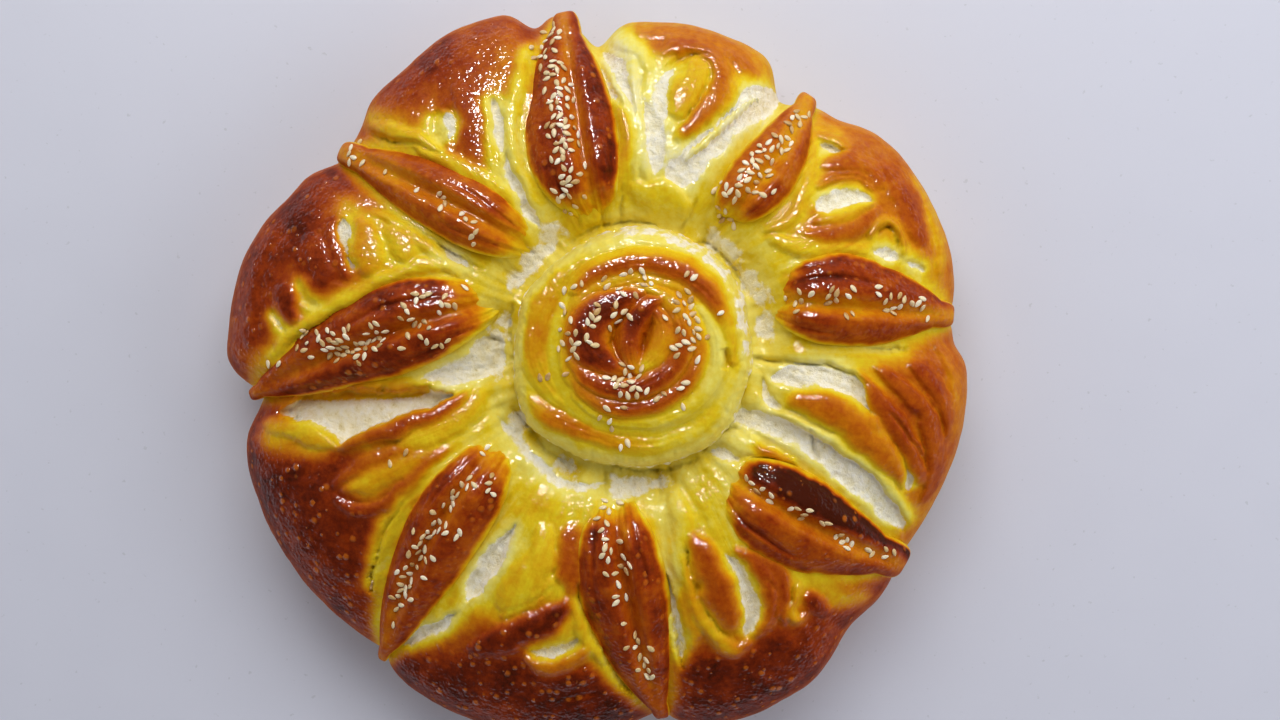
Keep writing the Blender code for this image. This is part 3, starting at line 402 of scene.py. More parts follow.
# Sesame, in drifts: middle and how many
DRIFTS = {
    "north": [(-13, 115, 4), (-14, 112, 5), (-16, 108, 6), (-12, 101, 9), (-10, 95, 8), (-10, 89, 7),
        (-9, 82, 9), (-7, 78, 8), (-8, 72, 6), (-7, 64, 9), (-9, 59, 5), (-7, 55, 3), (-2, 58, 1),
        (-15, 82, 1)],
    "north_east": [(69, 84, 8), (63, 76, 8), (58, 72, 8), (55, 68, 7), (51, 64, 7), (47, 59, 6),
        (45, 52, 6), (57, 59, 1), (61, 59, 1), (43, 62, 1)],
    "east": [(80, 26, 5), (69, 24, 6), (86, 28, 2), (95, 29, 1), (96, 25, 2), (103, 24, 4), (109, 23, 4),
        (84, 20, 2), (100, 21, 3), (112, 18, 1)],
    "south_east": [(53, -34, 2), (57, -38, 2), (60, -41, 2), (67, -44, 2), (71, -46, 3), (77, -50, 2),
        (83, -54, 3), (85, -56, 3), (93, -59, 2), (99, -61, 3)],
    "south": [(4, -45, 3), (9, -44, 1), (5, -50, 3), (5, -55, 1), (10, -55, 1), (6, -59, 4), (11, -63, 4),
        (7, -65, 2), (10, -69, 1), (11, -74, 3), (12, -83, 1), (15, -87, 1), (14, -91, 3), (20, -92, 1),
        (18, -96, 2), (18, -99, 3), (19, -102, 2)],
    "south_west": [(-36, -27, 2), (-33, -33, 1), (-39, -36, 4), (-33, -38, 3), (-45, -40, 3), (-46, -44, 3),
        (-44, -53, 2), (-50, -50, 6), (-54, -54, 5), (-57, -60, 8), (-61, -67, 8), (-64, -74, 8),
        (-66, -80, 2), (-68, -86, 1)],
    "lobe": [(-67, -30, 1), (-61, -27, 1), (-76, -73, 2)],
    "west": [(-56, 26, 4), (-42, 28, 1), (-47, 23, 5), (-60, 20, 4), (-56, 16, 3), (-54, 12, 4),
        (-48, 11, 2), (-60, 11, 1), (-69, 15, 5), (-73, 14, 1), (-71, 10, 5), (-76, 9, 5), (-79, 7, 3),
        (-83, 7, 5), (-87, 7, 4), (-87, 10, 6), (-80, 15, 1), (-83, 11, 1), (-92, 13, 2), (-96, 11, 4),
        (-97, 7, 3), (-76, 6, 1), (-62, 8, 1), (-107, 3, 1), (-110, 2, 1)],
    "north_west": [(-84, 75, 3), (-83, 71, 2), (-79, 70, 1), (-71, 68, 1), (-57, 60, 1), (-49, 59, 2),
        (-48, 55, 2), (-40, 50, 3), (-37, 47, 3)],
    "rose_petal": [(19, 34, 1), (14, 33, 2), (18, 32, 1), (19, 30, 2), (33, 32, 1), (35, 31, 1), (7, 29, 2),
        (-2, 29, 2), (-8, 26, 1), (12, 27, 2), (17, 27, 1), (31, 26, 2), (43, 20, 1), (-6, 22, 2),
        (-5, 18, 1), (-6, 14, 4), (-8, 11, 1), (-10, 9, 1), (-13, -1, 2), (4, -14, 1), (9, -15, 1),
        (7, -18, 1), (13, -22, 1), (10, -25, 1)],
    "rose_bun": [(10, 23, 1), (4, 23, 1), (13, 21, 2), (4, 20, 2), (2, 19, 2), (3, 17, 1), (10, 18, 2),
        (8, 15, 1), (-1, 13, 1), (0, 12, 1), (3, 10, 1), (25, 18, 1), (-4, 10, 2), (-3, 6, 1), (-5, 5, 1),
        (-8, 0, 1)],
    "rose_ring": [(31, 23, 4), (34, 22, 2), (34, 17, 3), (35, 14, 4), (34, 12, 2), (32, 11, 2), (30, 9, 2),
        (35, 8, 1), (36, 5, 1), (39, 13, 1), (11, 3, 1), (13, 2, 1), (18, 2, 1), (9, -1, 3), (13, 0, 2),
        (11, -3, 3), (15, -1, 2), (14, -4, 2), (12, -6, 1), (15, -6, 1), (20, -4, 1), (7, -10, 1),
        (14, -11, 1), (23, -8, 1), (27, -7, 1), (31, -3, 2), (32, -10, 1)],
}
SEED_HALF = (1.42, 0.87, 0.43)


# Noise and grids

RAGGED = 1.3  # how far the edges of painted lines wander
FAR = 1e9
NOISE_TURNS = 1024


def smooth_step(t):
    """0 below 0, 1 above 1 and a smooth rise between."""
    t = np.clip(t, 0.0, 1.0)
    return t * t * (3.0 - 2.0 * t)


def bell(off):
    """1 at 0, falling smoothly to about 0 at 2 on both sides."""
    return np.exp(-(off**2))


def tapered(share, power=0.4):
    """A line's swell: 0 at both ends and 1 at its middle."""
    return (4.0 * share * (1.0 - share)) ** power


def rounded(out, power=2):
    """How far a round edge has fallen, from 0 at its top to 1 at out 1."""
    return 1.0 - np.sqrt(np.maximum(0.0, 1.0 - out**power))


def degrees_apart(angle, middle):
    """Signed degrees from one direction to another, the short way round."""
    return (angle - middle + 180.0) % 360.0 - 180.0


def about_rose(x, y):
    """(angle in radians, distance) of places in plan, seen from the rose's middle."""
    dx, dy = x - ROSE_CENTRE[0], y - ROSE_CENTRE[1]
    return np.arctan2(dy, dx), np.hypot(dx, dy)


def gradient_noise(x, y, cell, seed):
    """Smooth noise from about -1 to 1 whose bumps are about one cell wide."""
    table = np.random.RandomState(seed)
    turns = table.uniform(0.0, 2.0 * math.pi, NOISE_TURNS)
    jumble = table.permutation(NOISE_TURNS)
    u, v = np.asarray(x) / cell, np.asarray(y) / cell
    i, j = np.floor(u).astype(np.int64), np.floor(v).astype(np.int64)
    fu, fv = u - i, v - j
    su, sv = (f * f * f * (f * (f * 6.0 - 15.0) + 10.0) for f in (fu, fv))

    def corner(a, b):
        turn = turns[jumble[(jumble[(i + a) % NOISE_TURNS] + j + b) % NOISE_TURNS]]
        return np.cos(turn) * (fu - a) + np.sin(turn) * (fv - b)

    low = corner(0, 0) * (1.0 - su) + corner(1, 0) * su
    high = corner(0, 1) * (1.0 - su) + corner(1, 1) * su
    return 1.5 * (low * (1.0 - sv) + high * sv)


def layered_noise(x, y, cell, seed, layers=3):
    """Gradient noise with finer and weaker layers over it."""
    total, weight = 0.0, 1.0
    for layer in range(layers):
        total = total + weight * gradient_noise(x, y, cell / 2**layer, seed + layer)
        weight *= 0.5
    return total / 1.5


def blurred(layer, radius):
    """The layer under a Gaussian blur whose radius is in cells."""
    rows, columns = layer.shape
    down = np.exp(-2.0 * (math.pi * radius * np.fft.fftfreq(rows)) ** 2)
    across = np.exp(-2.0 * (math.pi * radius * np.fft.rfftfreq(columns)) ** 2)
    return np.fft.irfft2(np.fft.rfft2(layer) * down[:, None] * across[None, :], s=layer.shape)


def blend(layer, window, value, weight):
    """Move a layer toward a value inside a window, by a weight from 0 to 1."""
    layer[window] += (value - layer[window]) * weight


def smooth_line(points, spacing=1.2):
    """A polyline through the points along a Catmull-Rom curve."""
    points = np.array(points, float)
    padded = np.vstack([2 * points[0] - points[1], points, 2 * points[-1] - points[-2]])
    line = [points[0]]
    for a, b, c, d in zip(padded, padded[1:], padded[2:], padded[3:]):
        for t in np.linspace(0, 1, max(2, int(np.linalg.norm((c - b)[:2]) / spacing)) + 1)[1:]:
            bent = (2 * a - 5 * b + 4 * c - d) * t**2 + (3 * b - a - 3 * c + d) * t**3
            line.append(0.5 * (2 * b + (c - a) * t + bent))
    return np.array(line)


def widest(points):
    """The largest half-width along a line."""
    return max(point[2] for point in points)


class Sheet:
    """Rise, bake and crumb of a patch of dough on a square grid in plan, in millimetres."""

    def __init__(self, centre, reach, step, seed, ragged=RAGGED):
        axis = np.arange(-reach, reach + step / 2, step)
        self.step = step
        self.low = (centre[0] - reach, centre[1] - reach)
        self.x, self.y = np.meshgrid(centre[0] + axis, centre[1] + axis)
        self.wx = self.x + ragged * layered_noise(self.x, self.y, 9.0, seed)
        self.wy = self.y + ragged * layered_noise(self.x, self.y, 9.0, seed + 10)
        self.rise = np.zeros_like(self.x)
        self.bake = np.zeros_like(self.x)
        self.crumb = np.zeros_like(self.x)

    def beside(self, points, margin):
        """(window, share along the line, signed distance from it, plus on its left) near a line."""
        line = smooth_line(points)[:, :2]
        corners = (line.min(0) - margin - self.low, line.max(0) + margin - self.low)
        (c0, r0), (c1, r1) = [[max(int(round(edge / self.step)), 0) for edge in ends] for ends in corners]
        window = (slice(r0, r1), slice(c0, c1))
        x, y = self.wx[window], self.wy[window]
        lengths = np.linalg.norm(np.diff(line, axis=0), axis=1)
        walked, total = 0.0, lengths.sum()
        best = np.full(x.shape, FAR)
        share, side = np.zeros(x.shape), np.zeros(x.shape)
        for (ax, ay), (bx, by), length in zip(line, line[1:], lengths):
            dx, dy = (bx - ax) / length, (by - ay) / length
            reach = np.clip((x - ax) * dx + (y - ay) * dy, 0, length)
            ox, oy = x - ax - reach * dx, y - ay - reach * dy
            far = ox * ox + oy * oy
            closer = far < best
            best[closer] = far[closer]
            share[closer] = np.minimum((walked + reach) / total, 1.0)[closer]
            side[closer] = np.sign(dx * oy - dy * ox)[closer]
            walked += length
        return window, share, np.sqrt(best) * side

    def carried(self, points, share):
        """(length of the line, and what its points carry beside x and y at each share along it)."""
        line = smooth_line(points)
        steps = np.linalg.norm(np.diff(line[:, :2], axis=0), axis=1)
        walked = np.concatenate([[0.0], np.cumsum(steps)])
        return walked[-1], [np.interp(share * walked[-1], walked, column) for column in line.T[2:]]

    def paint(self, points):
        """A soft patch of colour along a line."""
        window, share, off = self.beside(points, 2.0 * widest(points))
        _, (half, bake) = self.carried(points, share)
        blend(self.bake, window, bake, bell(off / half))

    def tear(self, depth, white, points):
        """A place where the crust has pulled apart over a rough pale floor."""
        window, share, off = self.beside(points, widest(points) + 8.0)
        length, (half,) = self.carried(points, share)
        x, y = self.x[window], self.y[window]
        taper = np.minimum(1.0, 3.0 * (share * (1.0 - share)) ** 0.5)
        ragged = np.minimum(0.3 * half, 1.6) * layered_noise(x, y, 8.0, 33)
        ragged += 0.6 * layered_noise(x, y, 2.6, 34)
        pulled = gradient_noise(share * length / 2.2, off / 7.0, 1.0, 35)
        pulled += 0.5 * gradient_noise(share * length / 1.1, off / 4.0, 1.0, 36)
        inside = half * taper - np.abs(off) + (ragged + 0.4 * pulled) * taper
        self.rise[window] -= depth * smooth_step(inside / np.minimum(0.8 * half, 2.4) + 0.1)
        self.rise[window] += 0.35 * pulled * smooth_step(inside / 1.2)
        stretched = bell(np.minimum(inside, 0.0) / 2.2) * taper
        paled = 0.32 - 0.16 * white - 0.08 * white * smooth_step(inside / 1.6 + 0.5)
        blend(self.bake, window, paled, 0.85 * stretched)
        opened = white * np.clip(0.5 + (inside - 0.2) / 3.2, 0.0, 1.0)
        self.crumb[window] = np.maximum(self.crumb[window], opened)

    def tan(self, bake, points):
        """Painted shade on a strip of a tear's floor: its crumb gives way to crust of the given bake."""
        window, share, off = self.beside(points, 2.5 * widest(points))
        _, (half,) = self.carried(points, share)
        here = bell(off / half)
        self.crumb[window] *= 1.0 - 0.85 * here**2
        blend(self.bake, window, bake, here)

    def roll(self, rise, bake, edge_bake, points):
        """A rounded roll of dough that lies on what is under it, tapering at both ends."""
        window, share, off = self.beside(points, widest(points) + 3.0)
        length, (half,) = self.carried(points, share)
        taper = tapered(share)
        x, y = self.x[window], self.y[window]
        half = half * (0.4 + 0.6 * taper) * (1.0 + 0.22 * layered_noise(x, y, 7.0, 38))
        off = off + 0.35 * half * layered_noise(x, y, 11.0, 39)
        out = np.abs(off) / half
        crest = rise * taper**0.7
        roundness = np.minimum(0.7 * half, 0.95 * crest)
        skirt = np.maximum(out - 1.0, 0.0) * half * 1.8
        pleats = gradient_noise(share * length / 13.0, off / 1.3, 1.0, 37)
        height = crest - roundness * rounded(out) - skirt + 0.16 * pleats
        colour = edge_bake + (bake - edge_bake) * smooth_step((1.05 - out) / 0.75) - 0.03 * pleats
        clear = height - self.rise[window]
        above = smooth_step(clear / 0.7 + 0.5) * smooth_step((1.12 - out) / 0.12)
        tinted = smooth_step(clear / 2.0 + 0.7) * smooth_step((1.3 - out) / 0.55)
        blend(self.rise, window, height, above)
        blend(self.bake, window, colour, tinted * np.minimum(1.0, 1.6 * taper))
        self.crumb[window] *= 1.0 - above

    def crease(self, half_width, depth, points):
        """A thin crevice, narrower and shallower toward both ends."""
        window, share, off = self.beside(points, 4.0 * half_width)
        taper = tapered(share)
        self.rise[window] -= depth * taper * bell(off / (half_width * (0.4 + 0.6 * taper)))

    def sample(self, layer, x, y):
        """A layer between its grid points."""
        u = np.clip((x - self.low[0]) / self.step, 0, layer.shape[1] - 1.001)
        v = np.clip((y - self.low[1]) / self.step, 0, layer.shape[0] - 1.001)
        i, j = u.astype(int), v.astype(int)
        fu, fv = u - i, v - j
        near = layer[j, i] * (1 - fu) + layer[j, i + 1] * fu
        far = layer[j + 1, i] * (1 - fu) + layer[j + 1, i + 1] * fu
        return near * (1 - fv) + far * fv

    def at(self, x, y):
        """(rise, bake, crumb) at places in plan."""
        return [self.sample(layer, x, y) for layer in (self.rise, self.bake, self.crumb)]


# Meshes


def ring_faces(first, count_a, second, count_b):
    """Triangles between two rings of different counts that start at the same angle."""
    key_a = (np.arange(count_a) + 0.5) / count_a
    key_b = (np.arange(count_b) + 0.5) / count_b
    apex_b = np.searchsorted(key_b, key_a, "left") % count_b
    apex_a = np.searchsorted(key_a, key_b, "right") % count_a
    i, j = np.arange(count_a), np.arange(count_b)
    from_a = np.stack([first + i, first + (i + 1) % count_a, second + apex_b], 1)
    from_b = np.stack([second + (j + 1) % count_b, second + j, first + apex_a], 1)
    return np.vstack([from_a, from_b])


def fan_faces(hub, rim, count):
    """Triangles from a hub to a rim whose points run round it."""
    i = np.arange(count)
    return np.stack([np.full(count, hub), rim + i, rim + (i + 1) % count], 1)


def closed_rings(rings):
    """(vertices, triangles) of a closed skin over rings that run anticlockwise, the first at the top."""
    starts = np.cumsum([0] + [len(ring) for ring in rings])
    faces = []
    for here, after, a, b in zip(starts, starts[1:], map(len, rings), map(len, rings[1:])):
        if a == 1:
            faces.append(fan_faces(here, after, b))
        elif b == 1:
            faces.append(fan_faces(after, here, a)[:, [0, 2, 1]])
        else:
            faces.append(ring_faces(here, a, after, b)[:, ::-1])
    return np.vstack(rings), np.vstack(faces)


def ring_count(radius, spacing):
    """How many points, about one spacing apart, go round a circle."""
    return max(1, int(round(2.0 * math.pi * radius / spacing)))


def ring_turns(count):
    """Angles in radians, evenly round a circle."""
    return np.arange(count) * 2.0 * math.pi / count


def in_scene(place):
    """A place of the tables, in millimetres, as one of the scene, in metres."""
    return Vector([(part + moved) * MM for part, moved in zip(place, (*SHIFT, 0.0))])


def link(name, data):
    """A new object in the scene."""
    made = bpy.data.objects.new(name, data)
    bpy.context.scene.collection.objects.link(made)
    return made


def mesh_piece(name, places, faces, layers, material):
    """A smooth-shaded piece from places in millimetres, with one float attribute for each layer."""
    mesh = bpy.data.meshes.new(name)
    places = (np.asarray(places) + np.array((*SHIFT, 0.0))) * MM
    faces = np.asarray(faces, np.int32)
    mesh.vertices.add(len(places))
    mesh.vertices.foreach_set("co", places.astype(np.float32).ravel())
    mesh.loops.add(faces.size)
    mesh.loops.foreach_set("vertex_index", faces.ravel())
    mesh.polygons.add(len(faces))
    mesh.polygons.foreach_set("loop_start", np.arange(0, faces.size, faces.shape[1], dtype=np.int32))
    mesh.update(calc_edges=True)
    mesh.validate()
    mesh.polygons.foreach_set("use_smooth", np.ones(len(mesh.polygons), bool))
    for layer, values in layers.items():
        attribute = mesh.attributes.new(layer, "FLOAT", "POINT")
        attribute.data.foreach_set("value", np.asarray(values, np.float32).ravel())
    mesh.materials.append(material)
    piece = link(name, mesh)
    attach(piece, "root")
    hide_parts("loaf")
    return piece


class Skin:
    """A closed skin, ring by ring from the top, with the layers that its points carry."""

    def __init__(self, *layers):
        self.rings = []
        self.layers = {layer: [] for layer in layers}

    def add(self, x, y, z, *values):
        """One more ring, with a value for each layer."""
        self.rings.append(np.stack([x, y, np.broadcast_to(z, x.shape)], 1))
        for layer, value in zip(self.layers.values(), values):
            layer.append(np.broadcast_to(value, x.shape))

    def piece(self, name, material):
        """The finished skin as a piece."""
        places, faces = closed_rings(self.rings)
        layers = {layer: np.concatenate(values) for layer, values in self.layers.items()}
        return mesh_piece(name, places, faces, layers, material)


# The body

MEAN_RADIUS = 125.0
NOTCH_DEPTH = 1.5  # how far the notches lie inside the leaves' tips
DOME_POWER = 3.0
DOME_ROUNDING = 0.556
BODY_REACH = 136.0
BODY_STEP = 0.5
BODY_SPACING = 0.86
FLANK_RINGS = 24
HEEL_WIDTH = 1.0
UNDERSIDE_LEAST = 24  # the underside's rings have half as many points each time, down to about this
DOUGH_BAKE = 0.31  # before it browns
UNDERSIDE_BAKE = 0.62
OUTLINE_SAMPLES = 4  # in a degree
SHARE_ROUNDS = 12
SECTION_SAMPLES = 4001


class Outline:
    """The widest line: its radius, and the lobe that each angle is in."""

    def __init__(self):
        tips = [row[1] for row in LEAVES.values()]
        tips = sorted((math.degrees(math.atan2(y, x)) % 360.0, math.hypot(x, y)) for x, y in tips)
        self.fine = np.arange(0.0, 360.0, 1.0 / OUTLINE_SAMPLES)
        self.radii, self.across, self.lobe_bake, self.lobe_start = np.zeros((4, len(self.fine)))
        for (before, near), (after, far) in zip(tips, tips[1:] + tips[:1]):
            span = (after - before) % 360.0
            share = ((self.fine - before) % 360.0) / span
            here = share < 1.0
            peak, reach, bake, start = next(row for row in LOBES if (row[0] - before) % 360.0 < span)
            peak_share = ((peak - before) % 360.0) / span
            share = share[here]
            skewed = share ** (math.log(0.5) / math.log(peak_share))
            notch = (near - NOTCH_DEPTH) * (1.0 - share) + (far - NOTCH_DEPTH) * share
            self.radii[here] = notch + (reach - notch) * (1.0 - np.abs(2.0 * skewed - 1.0) ** 2.6)
            self.across[here], self.lobe_bake[here], self.lobe_start[here] = share, bake, start
        for middle, half, depth in NICKS:
            self.radii -= depth * bell(degrees_apart(self.fine, middle) / half)

    def look(self, layer, angle):
        """A layer's value at the nearest angle."""
        return layer[np.round(np.asarray(angle) * OUTLINE_SAMPLES).astype(int) % len(self.fine)]

    def radius(self, angle):
        """The distance from the middle to the widest line."""
        return np.interp(np.asarray(angle) % 360.0, self.fine, self.radii, period=360.0)


OUTLINE = Outline()


def loaf_place(angle, share):
    """The point in plan at a share of the way from the rose's centre to the outline."""
    turn = np.radians(angle)
    radius = OUTLINE.radius(angle)
    x = ROSE_CENTRE[0] * (1.0 - share) + radius * np.cos(turn) * share
    y = ROSE_CENTRE[1] * (1.0 - share) + radius * np.sin(turn) * share
    return x, y


def loaf_share(x, y):
    """(angle, share) of places in plan, the inverse of loaf_place."""
    share = np.hypot(x, y) / MEAN_RADIUS
    for _ in range(SHARE_ROUNDS):
        dx = x - ROSE_CENTRE[0] * (1.0 - share)
        dy = y - ROSE_CENTRE[1] * (1.0 - share)
        angle = np.degrees(np.arctan2(dy, dx))
        share = np.hypot(dx, dy) / OUTLINE.radius(angle)
    return angle, share


def dome(share):
    """The body's section from the middle to the rim, falling from 1 to 0."""
    return np.maximum(0.0, 1.0 - np.minimum(share, 1.0) ** DOME_POWER) ** DOME_ROUNDING


def body_height(angle, share):
    """Height of the body's top before its tears and folds."""
    cushion = 1.0 - np.abs(2.0 * OUTLINE.look(OUTLINE.across, angle) - 1.0) ** 2.4
    puff = LOBE_PUFF * cushion * smooth_step((share - 0.3) / 0.3) * dome(share) ** 0.5
    _, from_rose = about_rose(*loaf_place(angle, share))
    trench = TRENCH_DEPTH * bell((from_rose - TRENCH_RADIUS) / TRENCH_WIDTH)
    return RIM_HEIGHT + (CROWN_HEIGHT - RIM_HEIGHT) * dome(share) + puff - trench


def beside_leaves(x, y):
    """Distance outside the nearest leaf's edge, in millimetres."""
    nearest = np.full(np.shape(x), FAR)
    for root, tip, left, right, bow, *_ in LEAVES.values():
        run = np.array(tip, float) - np.array(root, float)
        length = np.linalg.norm(run)
        run /= length
        along = ((x - root[0]) * run[0] + (y - root[1]) * run[1]) / length
        held = np.clip(along, 0.0, 1.0)
        offset = run[0] * (y - root[1]) - run[1] * (x - root[0]) - bow * np.sin(math.pi * held)
        half = np.where(offset > 0, left, right) * leaf_swell(held)
        ends = np.abs(along - held) * length
        nearest = np.minimum(nearest, np.hypot(np.maximum(np.abs(offset) - half, -3.0), ends))
    return nearest


def open_trench(sheet, medium):
    """The trench round the rose: dough torn into strips in its arcs, and closed between them."""
    x, y = sheet.x, sheet.y
    turn, from_rose = about_rose(x, y)
    ring = bell((from_rose - TRENCH_RADIUS - 1.5 + 2.5 * layered_noise(x, y, 20.0, 71)) / 5.2)
    torn = np.zeros_like(x)
    for middle, reach in TORN_ARCS:
        beyond = np.abs(degrees_apart(np.degrees(turn), middle))
        torn = np.maximum(torn, smooth_step(1.6 - beyond / reach))
    swayed = turn + 0.12 * layered_noise(x, y, 13.0, 76)
    strips = gradient_noise(swayed * 13.0, from_rose / 16.0, 1.0, 72)
    strips += 0.5 * gradient_noise(swayed * 31.0, from_rose / 9.0, 1.0, 73)
    strips *= 0.6 + 0.9 * layered_noise(x, y, 11.0, 77)
    gaps = np.clip(strips - 0.1, 0.0, 0.8)
    closed = 5.5 + 0.9 * layered_noise(x, y, 9.0, 75)
    sheet.rise += ring * (torn * (2.0 - 6.5 * gaps) + (1.0 - torn) * closed)
    sheet.bake += (0.27 + 0.1 * medium - sheet.bake) * np.minimum(1.0, 1.1 * ring) * (0.3 + 0.7 * torn)
    pits = 0.7 * layered_noise(x, y, 6.0, 74, 4)
    sheet.crumb = np.maximum(sheet.crumb, np.clip(ring * torn * (0.7 + pits), 0.0, 1.0))


def body_sheet():
    """Relief, bake and crumb of the body's top."""
    sheet = Sheet((0.0, 0.0), BODY_REACH, BODY_STEP, seed=1)
    x, y = sheet.x, sheet.y
    angle, share = loaf_share(x, y)
    wide = layered_noise(x, y, 34.0, 40)
    medium = layered_noise(x, y, 9.0, 50)
    sheet.rise += (1.3 * wide + 0.3 * medium) * smooth_step((1.0 - share) / 0.2)
    sheet.rise += 0.1 * layered_noise(x, y, 2.6, 55) + 0.17 * gradient_noise(x, y, 4.6, 56)

    lobe = OUTLINE.look(OUTLINE.lobe_bake, angle)
    start = OUTLINE.look(OUTLINE.lobe_start, angle)
    outer = smooth_step((share + 0.07 * wide + 0.03 * medium - start + 0.05) / 0.3)
    away = smooth_step((beside_leaves(x, y) + 1.4 * wide + 0.5 * medium + 0.5) / 6.5)
    sheet.bake = DOUGH_BAKE + (lobe - DOUGH_BAKE) * outer * away + 0.05 * wide * outer

    # stretched dough runs out from the rose between the leaves, and fainter to the rim
    turn = np.radians(angle) + 0.05 * layered_noise(x, y, 26.0, 63)
    strands = gradient_noise(turn * 13.0, share * 3.2, 1.0, 60)
    strands = strands + 0.6 * gradient_noise(turn * 31.0, share * 5.0, 1.0, 61)
    inner = smooth_step((0.7 - share) / 0.25)
    sheet.rise += strands * (0.4 + 0.3 * inner) * smooth_step((0.98 - share) / 0.1)
    sheet.bake += strands * (0.05 * outer + 0.09 * inner) + 0.14 * medium * inner

    for points in (*PAINT.values(), *PALE.values()):
        sheet.paint(points)
    tables = ((sheet.tear, TEARS), (sheet.tan, PAINTED_SHADE_STRIPS), (sheet.roll, ROLLS), (sheet.crease, CREASES))
    for lay, table in tables:
        for row in table.values():
            lay(*row)

    # crests brown a little more than the hollows beside them
    sheet.bake = blurred(sheet.bake, 2.6)
    relief = sheet.rise - blurred(sheet.rise, 9.0)
    sheet.bake += 0.035 * np.clip(relief, -1.8, 1.8) * smooth_step((sheet.bake - 0.25) / 0.2)

    open_trench(sheet, medium)
    rough = np.clip(sheet.crumb * 1.6 - 0.4, 0.0, 1.0)
    sheet.rise += rough * 0.3 * layered_noise(x, y, 2.2, 80)
    return sheet


def even_steps(curve, spacing):
    """Parameters from 0 to 1 that step evenly along a curve of (across, height)."""
    fine = np.linspace(0.0, 1.0, SECTION_SAMPLES)
    across, height = curve(fine)
    walked = np.concatenate([[0.0], np.cumsum(np.hypot(np.diff(across), np.diff(height)))])
    return np.interp(np.linspace(0.0, walked[-1], max(3, int(walked[-1] / spacing))), walked, fine)


def rim_swell(x, y, amount):
    """The rim's slight unevenness, as a factor on its radius."""
    return 1.0 + amount * (0.003 * layered_noise(x, y, 14.0, 90) - 0.004)


def body_piece(material):
    """The body: its top from the sheet, its sides down to the foot, and its underside."""
    sheet = body_sheet()
    skin = Skin("bake", "crumb", "flank", "stretched")

    def add(x, y, z, bake, crumb, flank):
        _, from_rose = about_rose(x, y)
        skin.add(x, y, z, bake, crumb, flank, 0.15 + 0.75 * smooth_step((from_rose - 46.0) / 26.0))

    def section(share):
        return MEAN_RADIUS * share, RIM_HEIGHT + (CROWN_HEIGHT - RIM_HEIGHT) * dome(share)

    for share in even_steps(section, BODY_SPACING):
        count = ring_count(MEAN_RADIUS * share, BODY_SPACING)
        angle = np.arange(count) * 360.0 / count
        x, y = loaf_place(angle, share)
        rise, bake, crumb = sheet.at(x, y)
        settle = smooth_step((1.0 - share) / 0.07)
        z = body_height(angle, np.full(count, share)) + rise * (0.12 + 0.88 * settle)
        rim = smooth_step((share - 0.965) / 0.035)
        swell = rim_swell(x, y, rim)
        add(x * swell, y * swell, z, bake * (1.0 - 0.12 * rim), crumb, 0.12 * rim)

    turn = np.radians(angle)
    radius = OUTLINE.radius(angle)
    lobe = sum(OUTLINE.look(OUTLINE.lobe_bake, angle + swing) for swing in range(-6, 7)) / 13.0
    edge_x, edge_y = radius * np.cos(turn), radius * np.sin(turn)
    _, edge_bake, edge_crumb = sheet.at(edge_x, edge_y)
    for drop in np.linspace(0.0, 1.0, FLANK_RINGS + 1)[1:]:
        uneven = layered_noise(turn * 12.0, np.full(count, drop * 1.5), 1.0, 91)
        bulge = 0.6 * uneven * math.sin(math.pi * drop)
        reach = radius * rim_swell(edge_x, edge_y, 1.0 - drop) - FOOT_INSET * drop**2 + bulge
        below = smooth_step(drop / 0.5)
        bake = (edge_bake + (lobe - edge_bake) * below) * 0.88 - 0.2 * below
        crumb = edge_crumb * (1.0 - below)
        height = RIM_HEIGHT * (1.0 - drop)
        add(reach * np.cos(turn), reach * np.sin(turn), height, bake, crumb, 0.12 + 0.88 * below)

    def add_below(turn, radius):
        add(radius * np.cos(turn), radius * np.sin(turn), 0.0, UNDERSIDE_BAKE, 0.0, 1.0)

    add_below(turn, radius - FOOT_INSET - HEEL_WIDTH)
    while count > UNDERSIDE_LEAST:
        count //= 2
        turn = ring_turns(count)
        add_below(turn, (OUTLINE.radius(np.degrees(turn)) - FOOT_INSET) * (count / len(angle)))
    add_below(np.zeros(1), np.zeros(1))
    return skin.piece("loaf_body", material)


# The leaves

LEAF_WIDEST = 0.36
LEAF_SINK = 9.0  # how far the root's end goes down into the body
FOLD_WIDTH = 0.9
LEAF_NOISE = range(100, 196, 12)  # where each leaf's noise seeds start


def leaf_swell(along):
    """A leaf's half-width along its spine, as a share of its widest."""
    past = np.clip((along - LEAF_WIDEST) / (1.0 - LEAF_WIDEST), 0.0, 1.0)
    near_root = 0.55 + 0.45 * np.sin(0.5 * math.pi * np.minimum(along, LEAF_WIDEST) / LEAF_WIDEST)
    toward_tip = np.cos(0.5 * math.pi * past) ** 0.8
    return np.where(along < LEAF_WIDEST, near_root, toward_tip)


def leaf_folds(lines, t, across, width, seed):
    """How deep the leaf's fine fold lines cut."""
    folded = np.zeros_like(t)
    for hand, line_across, first, last, depth in lines:
        span = np.clip((t - first) / (last - first), 0.0, 1.0)
        wander = 0.05 * gradient_noise(t * 5.0, 0.5, 1.0, seed)
        away = (across - hand * (line_across + wander)) * width
        cut = np.exp(-np.abs(away / FOLD_WIDTH) ** 1.5) * (across * hand > 0)
        folded += depth * tapered(span, 0.5) * cut
    return folded


def tube_faces(rows, count):
    """Triangles of a tube of rows of points, closed by two hubs that follow the last point."""
    i, j = np.meshgrid(np.arange(rows - 1), np.arange(count), indexing="ij")
    a, b = i * count + j, i * count + (j + 1) % count
    sides = np.stack([a, b, b + count, a, b + count, a + count], 2).reshape(-1, 3)
    near = fan_faces(rows * count, 0, count)[:, [0, 2, 1]]
    far = fan_faces(rows * count + 1, (rows - 1) * count, count)
    return np.vstack([sides, near, far])


